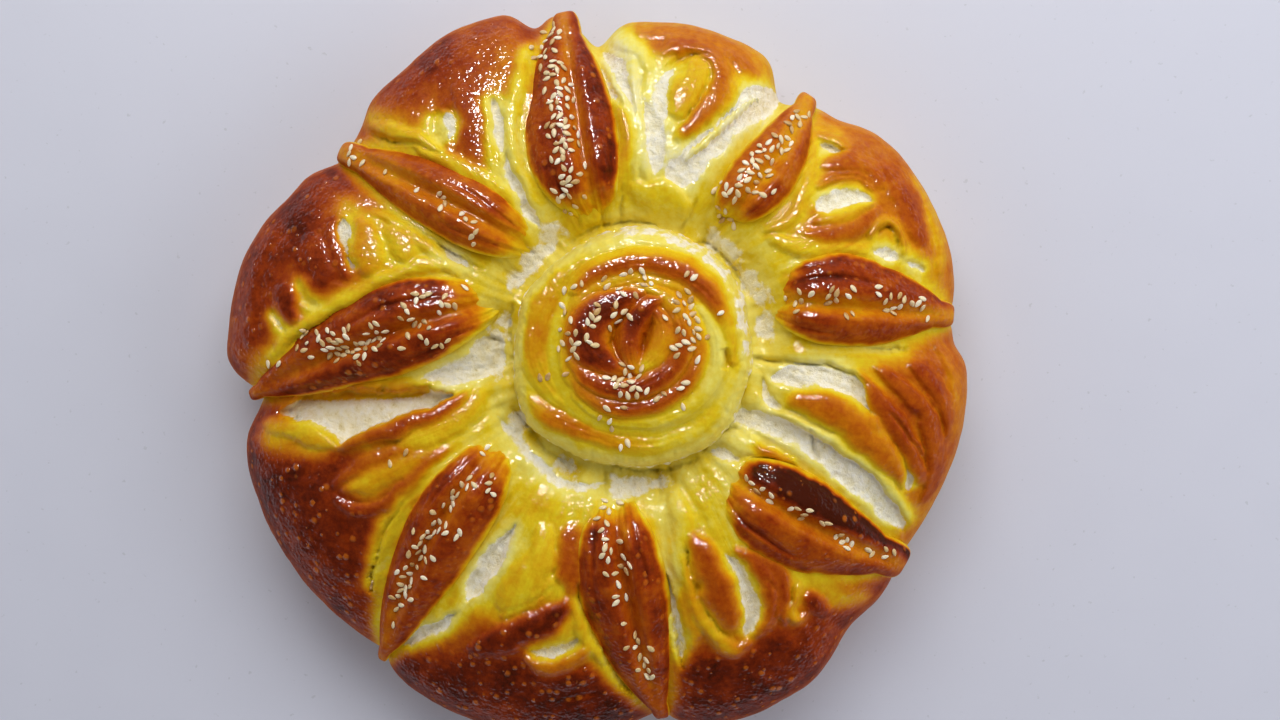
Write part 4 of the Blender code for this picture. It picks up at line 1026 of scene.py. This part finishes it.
def leaf_piece(name, row, seed, material):
    """A leaf: two pleated ridges with a crease between them, sunk into the body at the root."""
    root, tip, left, right, bow, blunt, left_bake, right_bake, crease_bake = row
    root, tip = np.array(root, float), np.array(tip, float)
    length = np.linalg.norm(tip - root)
    run = (tip - root) / length
    side = np.array([-run[1], run[0]])

    # t runs along the spine, and the turn goes over the top and back underneath
    end = 0.1 / LEAF_ALONG
    along = 0.5 - 0.5 * np.cos(math.pi * (0.04 + 0.92 * np.linspace(0.0, 1.0, LEAF_ALONG)))
    along = np.concatenate([[end], along, [1.0 - end]])
    over = math.pi * (np.arange(LEAF_OVER) + 0.5) / LEAF_OVER
    below = math.pi * (1.0 + (np.arange(LEAF_BELOW) + 0.5) / LEAF_BELOW)
    t, turn = np.meshgrid(along, np.concatenate([over, below]), indexing="ij")
    across, lift = np.cos(turn), np.sin(turn)

    # widths
    swell = leaf_swell(t)
    half = np.where(across > 0, left, right)
    wobble = 1.0 + 0.05 * layered_noise(t * 4.0, np.sign(across), 1.0, seed)
    offset = across * np.maximum(blunt, half * swell) * wobble
    closing = np.sqrt(np.maximum(0.0, 1.0 - np.abs(2.0 * t - 1.0) ** np.where(t < 0.5, 6.0, 14.0)))
    bend = bow * np.sin(math.pi * t)
    aside = bend + offset * (0.35 + 0.65 * closing)
    x = root[0] + (tip[0] - root[0]) * t + side[0] * aside
    y = root[1] + (tip[1] - root[1]) * t + side[1] * aside

    # heights
    crease = CREASE_DEPTH * bell(offset / CREASE_WIDTH) * swell
    sprung = 0.45 + 0.55 * smooth_step(t / 0.24)
    ridge = LEAF_TOP * np.maximum(lift, 0.0) ** 1.05 * (0.55 + 0.45 * swell) * sprung
    broad = layered_noise(t * length, offset, 16.0, seed + 3)
    pleats = gradient_noise(t * length / 26.0, offset / 1.9, 1.0, seed + 5)
    fine_pleats = gradient_noise(t * length / 12.0, offset / 0.8, 1.0, seed + 6)
    pleated = 0.75 * smooth_step((0.42 - t) / 0.3) + 0.25
    folded = leaf_folds(LEAF_LINES[name], t, across, half * np.maximum(swell, 0.2), seed + 8)
    relief = 0.8 * broad + pleated * (0.42 * pleats + 0.14 * fine_pleats) - folded
    rise = np.where(lift > 0, ridge - crease, LEAF_UNDER * lift) + smooth_step(lift / 0.3) * relief
    sunk = LEAF_SINK * smooth_step((0.13 + 0.015 * pleats + 0.03 * broad - t) / 0.15)
    height = LEAF_ROOT_HEIGHT + (LEAF_TIP_HEIGHT - LEAF_ROOT_HEIGHT) * t**1.6 + rise * closing - sunk

    # bake: pale at the root and the edges, and under the leaf but for its tip, and darker in the fold lines'
    # grooves as painted shade
    mottle = layered_noise(x, y, 7.0, seed + 7)
    ridge_bake = np.where(offset > 0, left_bake, right_bake)
    started = smooth_step((t + 0.05 * mottle + 0.03 - 0.06 * np.abs(across) ** 3) / 0.19)
    hump = smooth_step((np.abs(offset) - 0.5) / 5.0)
    edge = smooth_step((0.99 - np.abs(across) + 0.04 * mottle) / 0.15)
    baked = crease_bake + (ridge_bake - crease_bake) * hump
    baked = 0.34 + (baked - 0.34) * (0.18 + 0.82 * edge) + 0.08 * mottle - 0.04
    # the fold lines bake darker by their depth: painted shade in their grooves
    baked = 0.32 + (baked - 0.32) * started - (0.055 * pleats + 0.02 * fine_pleats) * pleated + 0.06 * folded
    near_tip = smooth_step((t - 0.7) / 0.2)
    baked = np.where(lift < 0, 0.3 + 0.3 * near_tip, baked)
    torn = smooth_step((-lift - 0.05) / 0.3) * (1.0 - near_tip)

    rows, count = t.shape
    places = np.stack([x, y, height], 2).reshape(-1, 3)
    places = np.vstack([places, places[:count].mean(0), places[-count:].mean(0)])
    flat = np.zeros_like(t)
    layers = {"bake": baked, "crumb": torn, "flank": flat, "stretched": flat + 0.7}
    for layer, values in layers.items():
        layers[layer] = np.append(values.ravel(), (values[0].mean(), values[-1].mean()))
    return mesh_piece("leaf_" + name, places, tube_faces(rows, count), layers, material)


# The rose

ROSE_REACH = 48.0
ROSE_STEP = 0.3
ROSE_SPACING = 0.34
ROSE_RAGGED = 0.52
ROSE_BASE = 63.5  # the height that its strands lie on, which rises toward the middle
ROSE_DOME = 4.0
ROSE_FOOT = 41.0
ROSE_WALL_RINGS = 15
ROSE_BAKE = 0.33


def rose_edge(turn):
    """The distance from the rose's middle to its ragged edge, at angles in radians."""
    angles, reach = zip(*ROSE_EDGE)
    ragged = layered_noise(3.0 * np.cos(turn), 3.0 * np.sin(turn), 1.0, 27)
    ragged = ragged + 0.5 * gradient_noise(11.0 * np.cos(turn), 11.0 * np.sin(turn), 1.0, 31)
    swung = [np.degrees(turn) + swing for swing in range(-18, 19, 6)]
    beside = [np.interp(angle, angles, reach, period=360.0) for angle in swung]
    return sum(beside) / len(beside) + 0.9 * ragged


def lay_strand(sheet, edge_bake, points):
    """A rolled strand of dough with fine pleats along it."""
    window, share, off = sheet.beside(points, 10.0)
    length, (half, top, bake) = sheet.carried(points, share)
    out = np.abs(off) / half
    skirt = np.maximum(out - 1.0, 0.0) * half * 1.6
    pleats = gradient_noise(share * length / 15.0, off / 1.15, 1.0, 24)
    pleats += 0.6 * gradient_noise(share * length / 9.0, off / 0.6, 1.0, 25)
    height = top - np.minimum(0.62 * half, 3.4) * rounded(out) - skirt + 0.2 * pleats
    colour = edge_bake + (bake - edge_bake) * smooth_step((1.02 - out) / 0.62) - 0.035 * pleats
    above = smooth_step((height - sheet.rise[window]) / 0.5 + 0.5)
    blend(sheet.rise, window, height, above)
    blend(sheet.bake, window, colour, above)


def rose_sheet():
    """Relief, bake and crumb of the rose's top."""
    sheet = Sheet(ROSE_CENTRE, ROSE_REACH, ROSE_STEP, seed=21, ragged=ROSE_RAGGED)
    x, y = sheet.x, sheet.y
    turn, from_centre = about_rose(x, y)
    sheet.rise += ROSE_BASE + ROSE_DOME * smooth_step((34.0 - from_centre) / 12.0)
    sheet.bake += ROSE_BAKE
    for edge_bake, points in STRANDS.values():
        lay_strand(sheet, edge_bake, points)
    for points, half_width, depth in ROSE_SLITS:
        window, share, off = sheet.beside(points, 4.0 * half_width)
        sheet.rise[window] -= depth * tapered(share) * bell(off / half_width)
    sheet.rise += 0.25 * layered_noise(x, y, 7.0, 22)
    sheet.bake = blurred(sheet.bake, 2.4) + 0.05 * layered_noise(x, y, 8.0, 23)

    # the rim rounds off, pale, and its crumb is open toward the north-east
    inward = from_centre - rose_edge(turn)
    tube = np.clip((inward + 0.6 * COLLAR_TUBE) / (0.6 * COLLAR_TUBE), 0.0, 1.0)
    sheet.rise -= COLLAR_TUBE * 0.8 * rounded(tube, 2.1)
    edge = smooth_step((inward + 4.5 + 1.6 * layered_noise(x, y, 9.0, 28)) / 3.0)
    sheet.bake += (0.16 - sheet.bake) * 0.7 * edge
    opened = smooth_step(1.5 - np.abs(np.degrees(turn) - 45.0) / 55.0)
    sheet.crumb = np.clip(edge * opened * (0.62 + 0.7 * layered_noise(x, y, 5.0, 29)), 0.0, 1.0)
    sheet.rise += edge * 0.7 * layered_noise(x, y, 2.6, 26)
    return sheet


def rose_piece(material):
    """The rose: its top from the sheet, and a torn wall that flares down into the trench."""
    sheet = rose_sheet()
    skin = Skin("bake", "crumb", "flank")
    for radius in np.arange(0.0, COLLAR_RADIUS, ROSE_SPACING):
        turn = ring_turns(ring_count(radius, ROSE_SPACING))
        uneven = 1.0 + (rose_edge(turn) / COLLAR_RADIUS - 1.0) * (radius / COLLAR_RADIUS) ** 4
        x = ROSE_CENTRE[0] + radius * uneven * np.cos(turn)
        y = ROSE_CENTRE[1] + radius * uneven * np.sin(turn)
        skin.add(x, y, *sheet.at(x, y), 0.0)
    x, y, z = skin.rings[-1].T
    turn, _ = about_rose(x, y)
    for drop in np.linspace(0.0, 1.0, ROSE_WALL_RINGS + 1)[1:]:
        strings = gradient_noise(turn * 17.0, np.full(len(turn), 2.0 * drop), 1.0, 32)
        flare = 0.07 * drop**0.6 * (1.0 - 0.5 * drop) + 0.014 * math.sin(math.pi * drop) * strings
        wide_x, wide_y = x + (x - ROSE_CENTRE[0]) * flare, y + (y - ROSE_CENTRE[1]) * flare
        low = z * (1.0 - drop) + ROSE_FOOT * drop
        skin.add(wide_x, wide_y, low, 0.2 + 0.1 * strings, np.clip(0.42 + 0.4 * strings, 0.0, 1.0), 0.0)
    skin.add(*np.array(ROSE_CENTRE)[:, None], ROSE_FOOT, 0.24, 0.3, 0.0)
    return skin.piece("rose", material)


# Sesame

SEED_AROUND = 10
SEED_ALONG = 7
SEED_POINT = 1.12
SEED_GAP = 1.9
SEED_SIZES = (0.86, 1.1)
SEED_LEAN = 0.16
SEED_LIFTS = (0.18, 0.5)
MOST_TRIES = 200
DRAW_NUMBER = 5  # which series of random draws lays them
DROP_HEIGHT = 200.0  # where the rays start that find what lies under a seed


def seed_skin():
    """A unit sesame seed: a flat drop, pointed along +X. (vertices, triangles)"""
    rings = []
    for row in range(SEED_ALONG + 1):
        level = math.pi * row / SEED_ALONG
        x, reach = math.cos(level), math.sin(level)
        pinch = 1.0 - 0.42 * max(0.0, x) - 0.05 * max(0.0, -x)
        turn = ring_turns(1 if row in (0, SEED_ALONG) else SEED_AROUND)
        drawn_out = np.full(len(turn), x * (SEED_POINT if x > 0 else 1.0))
        rings.append(np.stack([drawn_out, reach * pinch * np.cos(turn), reach * np.sin(turn)], 1))
    return closed_rings(rings)


def sesame_piece(carriers, material):
    """All the seeds as one mesh, each lying on whatever is topmost under it."""
    graph = bpy.context.evaluated_depsgraph_get()
    skins = [BVHTree.FromObject(carrier, graph) for carrier in carriers]
    draw = random.Random(DRAW_NUMBER)
    shape, shape_faces = seed_skin()
    taken, places, faces, tints = [], [], [], []
    for x, y, count in sum(DRIFTS.values(), []):
        laid, tries = 0, 0
        while laid < count and tries < MOST_TRIES:
            tries += 1
            spread = 0.5 + 0.85 * math.sqrt(count) * (1.0 + tries / 60.0)
            px = x + draw.gauss(0.0, 0.5) * spread
            py = y + draw.gauss(0.0, 0.5) * spread
            if any(math.hypot(px - a, py - b) < SEED_GAP for a, b in taken):
                continue
            hits = [skin.ray_cast(in_scene((px, py, DROP_HEIGHT)), Vector((0, 0, -1))) for skin in skins]
            spot, normal = max(((hit[0], hit[1]) for hit in hits if hit[0]), key=lambda hit: hit[0].z)
            taken.append((px, py))
            laid += 1
            size = draw.uniform(*SEED_SIZES)
            lean_x, lean_y = [Matrix.Rotation(draw.gauss(0.0, SEED_LEAN), 3, axis) for axis in "XY"]
            spin = Matrix.Rotation(draw.uniform(0.0, 2.0 * math.pi), 3, "Z")
            turned = normal.to_track_quat("Z", "Y").to_matrix() @ (lean_x @ lean_y) @ spin
            scale = np.diag([half * size for half in SEED_HALF])
            lifted = np.array(normal) * draw.uniform(*SEED_LIFTS)
            centre = np.array(spot) / MM - np.array((*SHIFT, 0.0)) + lifted
            faces.append(shape_faces + len(places) * len(shape))
            places.append(shape @ scale @ np.array(turned).T + centre)
            tints.append(np.full(len(shape), draw.uniform(0.0, 1.0)))
    layers = {"tint": np.concatenate(tints)}
    return mesh_piece("sesame_seeds", np.vstack(places), np.vstack(faces), layers, material)


# Materials, with colours from 0 to 255 as a picture shows them and noise sizes in metres

CRUST_COLOURS = (
    (0.0, 240, 234, 196),
    (0.18, 238, 224, 108),
    (0.34, 230, 200, 30),
    (0.5, 218, 158, 12),
    (0.62, 206, 123, 9),
    (0.74, 180, 84, 7),
    (0.84, 149, 53, 6),
    (0.93, 107, 32, 5),
    (1.0, 68, 22, 6),
)
# Crumb by the torn noise: the darker low stop is painted shade in the pits that the same noise sinks
CRUMB_AND_PIT_SHADE_COLOURS = ((0.28, 222, 206, 150), (0.38, 243, 233, 196), (0.52, 251, 244, 220), (0.7, 254, 250, 238))
# Crumb that carries bake: real toasting, and painted shade on the pocket's top strip under the leaf
TOASTED_AND_SHADED_CRUMB = (196, 134, 52)
SIDE_COLOURS = ((0.25, 176, 122, 74), (0.75, 214, 172, 124))
BLISTER_COLOUR = (208, 108, 24)
BLISTER_SPACING = 0.003
SESAME_COLOURS = ((0.0, 198, 152, 84), (0.3, 226, 198, 142), (0.7, 240, 222, 180), (1.0, 250, 240, 212))
TABLE_COLOUR = (214, 216, 230)
SPECK_COLOUR = (168, 172, 180)
FIBRES_ROUND = 27.0
FIBRE_LENGTH = 0.022

# A Mix node's sockets for colours
MIX_FIRST, MIX_SECOND, MIX_RESULT = 6, 7, 2


def linear(red, green, blue):
    """A linear colour from the 0 to 255 values that a picture shows."""
    parts = [value / 255.0 for value in (red, green, blue)]
    return (*[part / 12.92 if part <= 0.04045 else ((part + 0.055) / 1.055) ** 2.4 for part in parts], 1.0)


class Nodes:
    """Short names for building one material's nodes."""

    def __init__(self, name):
        self.material = bpy.data.materials.new(name)
        self.material.use_nodes = True
        self.tree = self.material.node_tree
        self.shader = self.tree.nodes["Principled BSDF"]
        self.place = self.make("ShaderNodeTexCoord").outputs["Object"]

    def make(self, kind, *values, **settings):
        """A node with these settings, whose first inputs take the values in order."""
        node = self.tree.nodes.new(kind)
        for key, value in settings.items():
            setattr(node, key, value)
        for socket, value in zip(node.inputs, values):
            self.feed(socket, value)
        return node

    def feed(self, socket, value):
        """Link another node's output to a socket, or set the socket's own value."""
        if isinstance(value, bpy.types.NodeSocket):
            self.tree.links.new(value, socket)
        else:
            socket.default_value = value

    def shade(self, **values):
        """Feed the shader's inputs, named with _ for each space."""
        for name, value in values.items():
            self.feed(self.shader.inputs[name.replace("_", " ")], value)

    def layer(self, name):
        """What the mesh carries at each point under this name."""
        return self.make("ShaderNodeAttribute", attribute_name=name).outputs["Fac"]

    def noise(self, size, detail=3.0, roughness=0.55, place=None):
        """Noise from 0 to 1 whose bumps are about size metres wide."""
        node = self.make("ShaderNodeTexNoise", place or self.place)
        for socket, value in (("Scale", 1.0 / size), ("Detail", detail), ("Roughness", roughness)):
            node.inputs[socket].default_value = value
        return node.outputs["Fac"]

    def fibres(self):
        """Noise from 0 to 1 drawn out away from the rose."""
        parted = self.make("ShaderNodeSeparateXYZ", self.place).outputs
        middle = in_scene((*ROSE_CENTRE, 0.0))
        x, y = [self.maths("SUBTRACT", parted[axis], middle[axis]) for axis in (0, 1)]
        reach = self.maths("SQRT", self.maths("ADD", self.times(x, x), self.times(y, y)))
        round_it = [self.times(self.maths("DIVIDE", part, reach), FIBRES_ROUND) for part in (x, y)]
        joined = self.make("ShaderNodeCombineXYZ", *round_it, self.times(reach, 1.0 / FIBRE_LENGTH))
        return self.noise(1.0, 3.0, 0.5, joined.outputs[0])

    def maths(self, operation, *values, clamp=False):
        """The result of one sum on values or other nodes' outputs."""
        return self.make("ShaderNodeMath", *values, operation=operation, use_clamp=clamp).outputs[0]

    def times(self, first, second):
        """The product of two values or outputs."""
        return self.maths("MULTIPLY", first, second)

    def varied(self, value, noise, amount, clamp=False):
        """A value moved up and down by an amount of noise about 0.5."""
        return self.maths("MULTIPLY_ADD", self.maths("SUBTRACT", noise, 0.5), amount, value, clamp=clamp)

    def span(self, value, low, high, to_low=0.0, to_high=1.0):
        """A smooth step from to_low at low to to_high at high."""
        ends = (low, high, to_low, to_high)
        return self.make("ShaderNodeMapRange", value, *ends, interpolation_type="SMOOTHSTEP").outputs[0]

    def ramp(self, value, stops):
        """A colour from stops of (value, red, green, blue)."""
        node = self.make("ShaderNodeValToRGB", value)
        elements = node.color_ramp.elements
        while len(elements) < len(stops):
            elements.new(0.5)
        for element, (place, *colour) in zip(elements, stops):
            element.position = place
            element.color = linear(*colour)
        return node.outputs["Color"]

    def mix(self, share, first, second):
        """One colour over another by a share."""
        node = self.make("ShaderNodeMix", share, data_type="RGBA")
        self.feed(node.inputs[MIX_FIRST], first)
        self.feed(node.inputs[MIX_SECOND], second)
        return node.outputs[MIX_RESULT]

    def bump(self, height, distance, strength, before=None):
        """A bump by a height over a distance in metres, on top of the one before."""
        node = self.make("ShaderNodeBump")
        node.inputs["Distance"].default_value = distance
        self.feed(node.inputs["Strength"], strength)
        self.feed(node.inputs["Height"], height)
        if before:
            self.feed(node.inputs["Normal"], before)
        return node.outputs["Normal"]


def blisters(n, bake):
    """Small domes under the glaze where the crust is dark."""
    cells = n.make("ShaderNodeTexVoronoi", n.place)
    cells.inputs["Scale"].default_value = 1.0 / BLISTER_SPACING
    cells.inputs["Randomness"].default_value = 1.0
    chosen = n.make("ShaderNodeSeparateColor", cells.outputs["Color"]).outputs
    picked = n.span(chosen[0], 0.42, 0.5)
    radius = n.span(chosen[1], 0.0, 1.0, 0.16, 0.55)
    raised = n.span(n.maths("DIVIDE", cells.outputs["Distance"], radius), 1.0, 0.35)
    return n.times(n.times(raised, picked), n.span(bake, 0.74, 0.9))


def crust_material():
    """Egg-washed crust from pale dough to dark brown, with open crumb where it has torn."""
    n = Nodes("egg_washed_crust")
    bake, crumb, flank = [n.layer(name) for name in ("bake", "crumb", "flank")]
    fibres = n.fibres()
    streaked = n.times(n.layer("stretched"), n.span(bake, 0.42, 0.68, 0.34, 0.1))
    browned = n.varied(bake, n.noise(0.012, 4.0, 0.6), 0.26)
    browned = n.varied(browned, n.noise(0.0022, 4.0, 0.65), 0.22)
    browned = n.varied(browned, fibres, streaked, clamp=True)
    blister = blisters(n, bake)
    crust = n.mix(n.times(blister, 0.6), n.ramp(browned, CRUST_COLOURS), linear(*BLISTER_COLOUR))
    crust = n.mix(n.times(flank, 0.75), crust, n.ramp(n.noise(0.006, 4.0), SIDE_COLOURS))

    pores = n.noise(0.0011, 3.0, 0.7)
    # torn sinks the crumb's pits in the bump below and darkens them in the colour ramp: painted shade
    torn = n.noise(0.0028, 5.0, 0.65)
    open_crumb = n.span(n.varied(crumb, torn, 0.7), 0.4, 0.68)
    # crumb with bake turns toward the toasted colour, which on the pocket's top strip is painted shade
    bread = n.mix(n.span(bake, 0.28, 0.6, 0.0, 0.95), n.ramp(torn, CRUMB_AND_PIT_SHADE_COLOURS), linear(*TOASTED_AND_SHADED_CRUMB))

    # glaze only where the brush went: on top, and more of it where the crust is brown
    shine = n.span(n.noise(0.005, 3.0), 0.3, 0.7, 0.42, 0.55)
    matt = n.maths("MAXIMUM", open_crumb, n.times(flank, 0.8))
    facing = n.make("ShaderNodeSeparateXYZ", n.make("ShaderNodeNewGeometry").outputs["Normal"])
    upward = n.span(facing.outputs["Z"], 0.5, 0.9, 0.0, 0.95)
    washed = n.times(upward, n.span(bake, 0.3, 0.72, 0.5, 1.0))

    normal = n.bump(n.noise(0.0036, 2.0, 0.5), 0.0009, 0.5)
    normal = n.bump(fibres, 0.0012, n.times(streaked, 1.2), normal)
    normal = n.bump(blister, 0.0006, 0.6, normal)
    rough = n.maths("SUBTRACT", n.maths("MULTIPLY_ADD", pores, 0.6, torn), 0.8)
    normal = n.bump(n.times(rough, open_crumb), 0.0012, 0.8, normal)
    n.shade(
        Base_Color=n.mix(open_crumb, crust, bread),
        Roughness=n.maths("MULTIPLY_ADD", matt, n.maths("SUBTRACT", 0.9, shine), shine),
        Specular_IOR_Level=0.06,
        Coat_Weight=n.times(n.maths("SUBTRACT", 1.0, matt, clamp=True), washed),
        Coat_Roughness=0.04,
        Normal=normal,
        Coat_Normal=n.bump(n.noise(0.0012, 1.0, 0.3), 0.0004, 1.0, normal),
    )
    return n.material


def sesame_material():
    """Hulled seeds, each its own shade by its tint."""
    n = Nodes("toasted_sesame")
    n.shade(
        Base_Color=n.ramp(n.varied(n.layer("tint"), n.noise(0.0012), 0.5, clamp=True), SESAME_COLOURS),
        Roughness=n.span(n.noise(0.0009), 0.3, 0.7, 0.42, 0.6),
        Normal=n.bump(n.noise(0.0005), 0.0002, 0.4),
    )
    return n.material


def table_material():
    """A pale table with a few grey specks."""
    n = Nodes("speckled_table")
    specks = n.times(n.span(n.noise(0.0026, 2.0), 0.68, 0.76), 0.35)
    n.shade(
        Base_Color=n.mix(specks, linear(*TABLE_COLOUR), linear(*SPECK_COLOUR)),
        Roughness=n.span(n.noise(0.02), 0.3, 0.7, 0.5, 0.62),
    )
    return n.material


# Stage: places in metres, powers in watts

TABLE_HALF = 3.0
SKY = (0.93, 0.95, 1.0, 1.0)
SKY_FALL = (0.3, 0.8)  # how high a direction points where the sky's light starts and ends its fall
HORIZON_LIGHT = 0.82
ZENITH_LIGHT = 0.08
LIT_PLACE = (0.0, 0.0, 0.03)

# Each lamp's place, size, power and colour, and whether it shows only in the glaze, or else never in it
LAMPS = {
    "window": ((0.1, 0.75, 0.9), (1.1, 0.8), 9.4, (1.0, 0.985, 0.96), False),
    "right_wall": ((1.0, 0.1, 0.7), (1.0, 0.5), 3.0, (0.97, 0.98, 1.0), False),
    "window_pane": ((-0.14, 0.775, 0.855), (0.36, 0.27), 20.0, (1.0, 0.985, 0.96), True),
}

# The camera, with its places in millimetres like the tables
CAMERA_PLACE = (55.99, 22.79, 678.44)
CAMERA_AIM = (15.53, 3.92, 40.0)
CAMERA_LENS = 52.94
CAMERA_SENSOR = 36.0


def make_table():
    """A table top under the loaf, for the picture only."""
    mesh = bpy.data.meshes.new("table_top")
    corners = [(TABLE_HALF * x, TABLE_HALF * y, 0.0) for x, y in ((-1, -1), (1, -1), (1, 1), (-1, 1))]
    mesh.from_pydata(corners, [], [(0, 1, 2, 3)])
    mesh.materials.append(table_material())
    floor = link("table_top", mesh)


def make_sky():
    """A world that is bright at the horizon and dark overhead, and doesn't show in the glaze."""
    bpy.context.scene.view_settings.view_transform = "Standard"
    world = bpy.context.scene.world or bpy.data.worlds.new("studio")
    bpy.context.scene.world = world
    world.use_nodes = True
    tree = world.node_tree
    background = tree.nodes["Background"]
    background.inputs["Color"].default_value = SKY
    direction = tree.nodes.new("ShaderNodeTexCoord").outputs["Generated"]
    split = tree.nodes.new("ShaderNodeSeparateXYZ")
    fall = tree.nodes.new("ShaderNodeMapRange")
    for number, part in enumerate((*SKY_FALL, HORIZON_LIGHT, ZENITH_LIGHT)):
        fall.inputs[number + 1].default_value = part
    tree.links.new(direction, split.inputs[0])
    tree.links.new(split.outputs["Z"], fall.inputs[0])
    tree.links.new(fall.outputs[0], background.inputs["Strength"])
    world.cycles_visibility.glossy = False


def make_lamp(name, place, size, power, colour, only_glaze):
    """An area lamp that points at the loaf."""
    light = bpy.data.lights.new(name, "AREA")
    light.shape = "RECTANGLE"
    light.size, light.size_y = size
    light.energy = power
    light.color = colour
    lamp = link(name, light)
    lamp.visible_glossy, lamp.visible_diffuse = only_glaze, not only_glaze
    lamp.location = place
    lamp.rotation_euler = (Vector(LIT_PLACE) - Vector(place)).to_track_quat("-Z", "Y").to_euler()


def make_camera():
    """The photo looks almost straight down, from a little to the right of the middle."""
    camera = bpy.data.cameras.new("photo_camera")
    camera.sensor_width = CAMERA_SENSOR
    camera.lens = CAMERA_LENS
    made = link("photo_camera", camera)
    place = in_scene(CAMERA_PLACE)
    back = (place - in_scene(CAMERA_AIM)).normalized()
    right = Vector((0.0, 1.0, 0.0)).cross(back).normalized()
    turned = Matrix((right, back.cross(right), back)).transposed().to_4x4()
    made.matrix_world = Matrix.Translation(place) @ turned
    bpy.context.scene.camera = made


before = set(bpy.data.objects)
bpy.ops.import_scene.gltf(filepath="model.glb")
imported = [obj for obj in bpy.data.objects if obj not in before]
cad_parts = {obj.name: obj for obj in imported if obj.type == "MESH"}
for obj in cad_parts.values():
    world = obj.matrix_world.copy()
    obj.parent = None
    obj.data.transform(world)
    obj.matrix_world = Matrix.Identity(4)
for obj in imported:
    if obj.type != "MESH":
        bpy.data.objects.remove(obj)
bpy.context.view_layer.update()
make_camera()
make_table()
make_sky()
for lamp_name, lamp_row in LAMPS.items():
    make_lamp(lamp_name, *lamp_row)
crust = crust_material()
carriers = [body_piece(crust), rose_piece(crust)]
for (leaf_name, leaf_row), leaf_noise in zip(LEAVES.items(), LEAF_NOISE):
    carriers.append(leaf_piece(leaf_name, leaf_row, leaf_noise, crust))
bpy.context.view_layer.update()
sesame_piece(carriers, sesame_material())
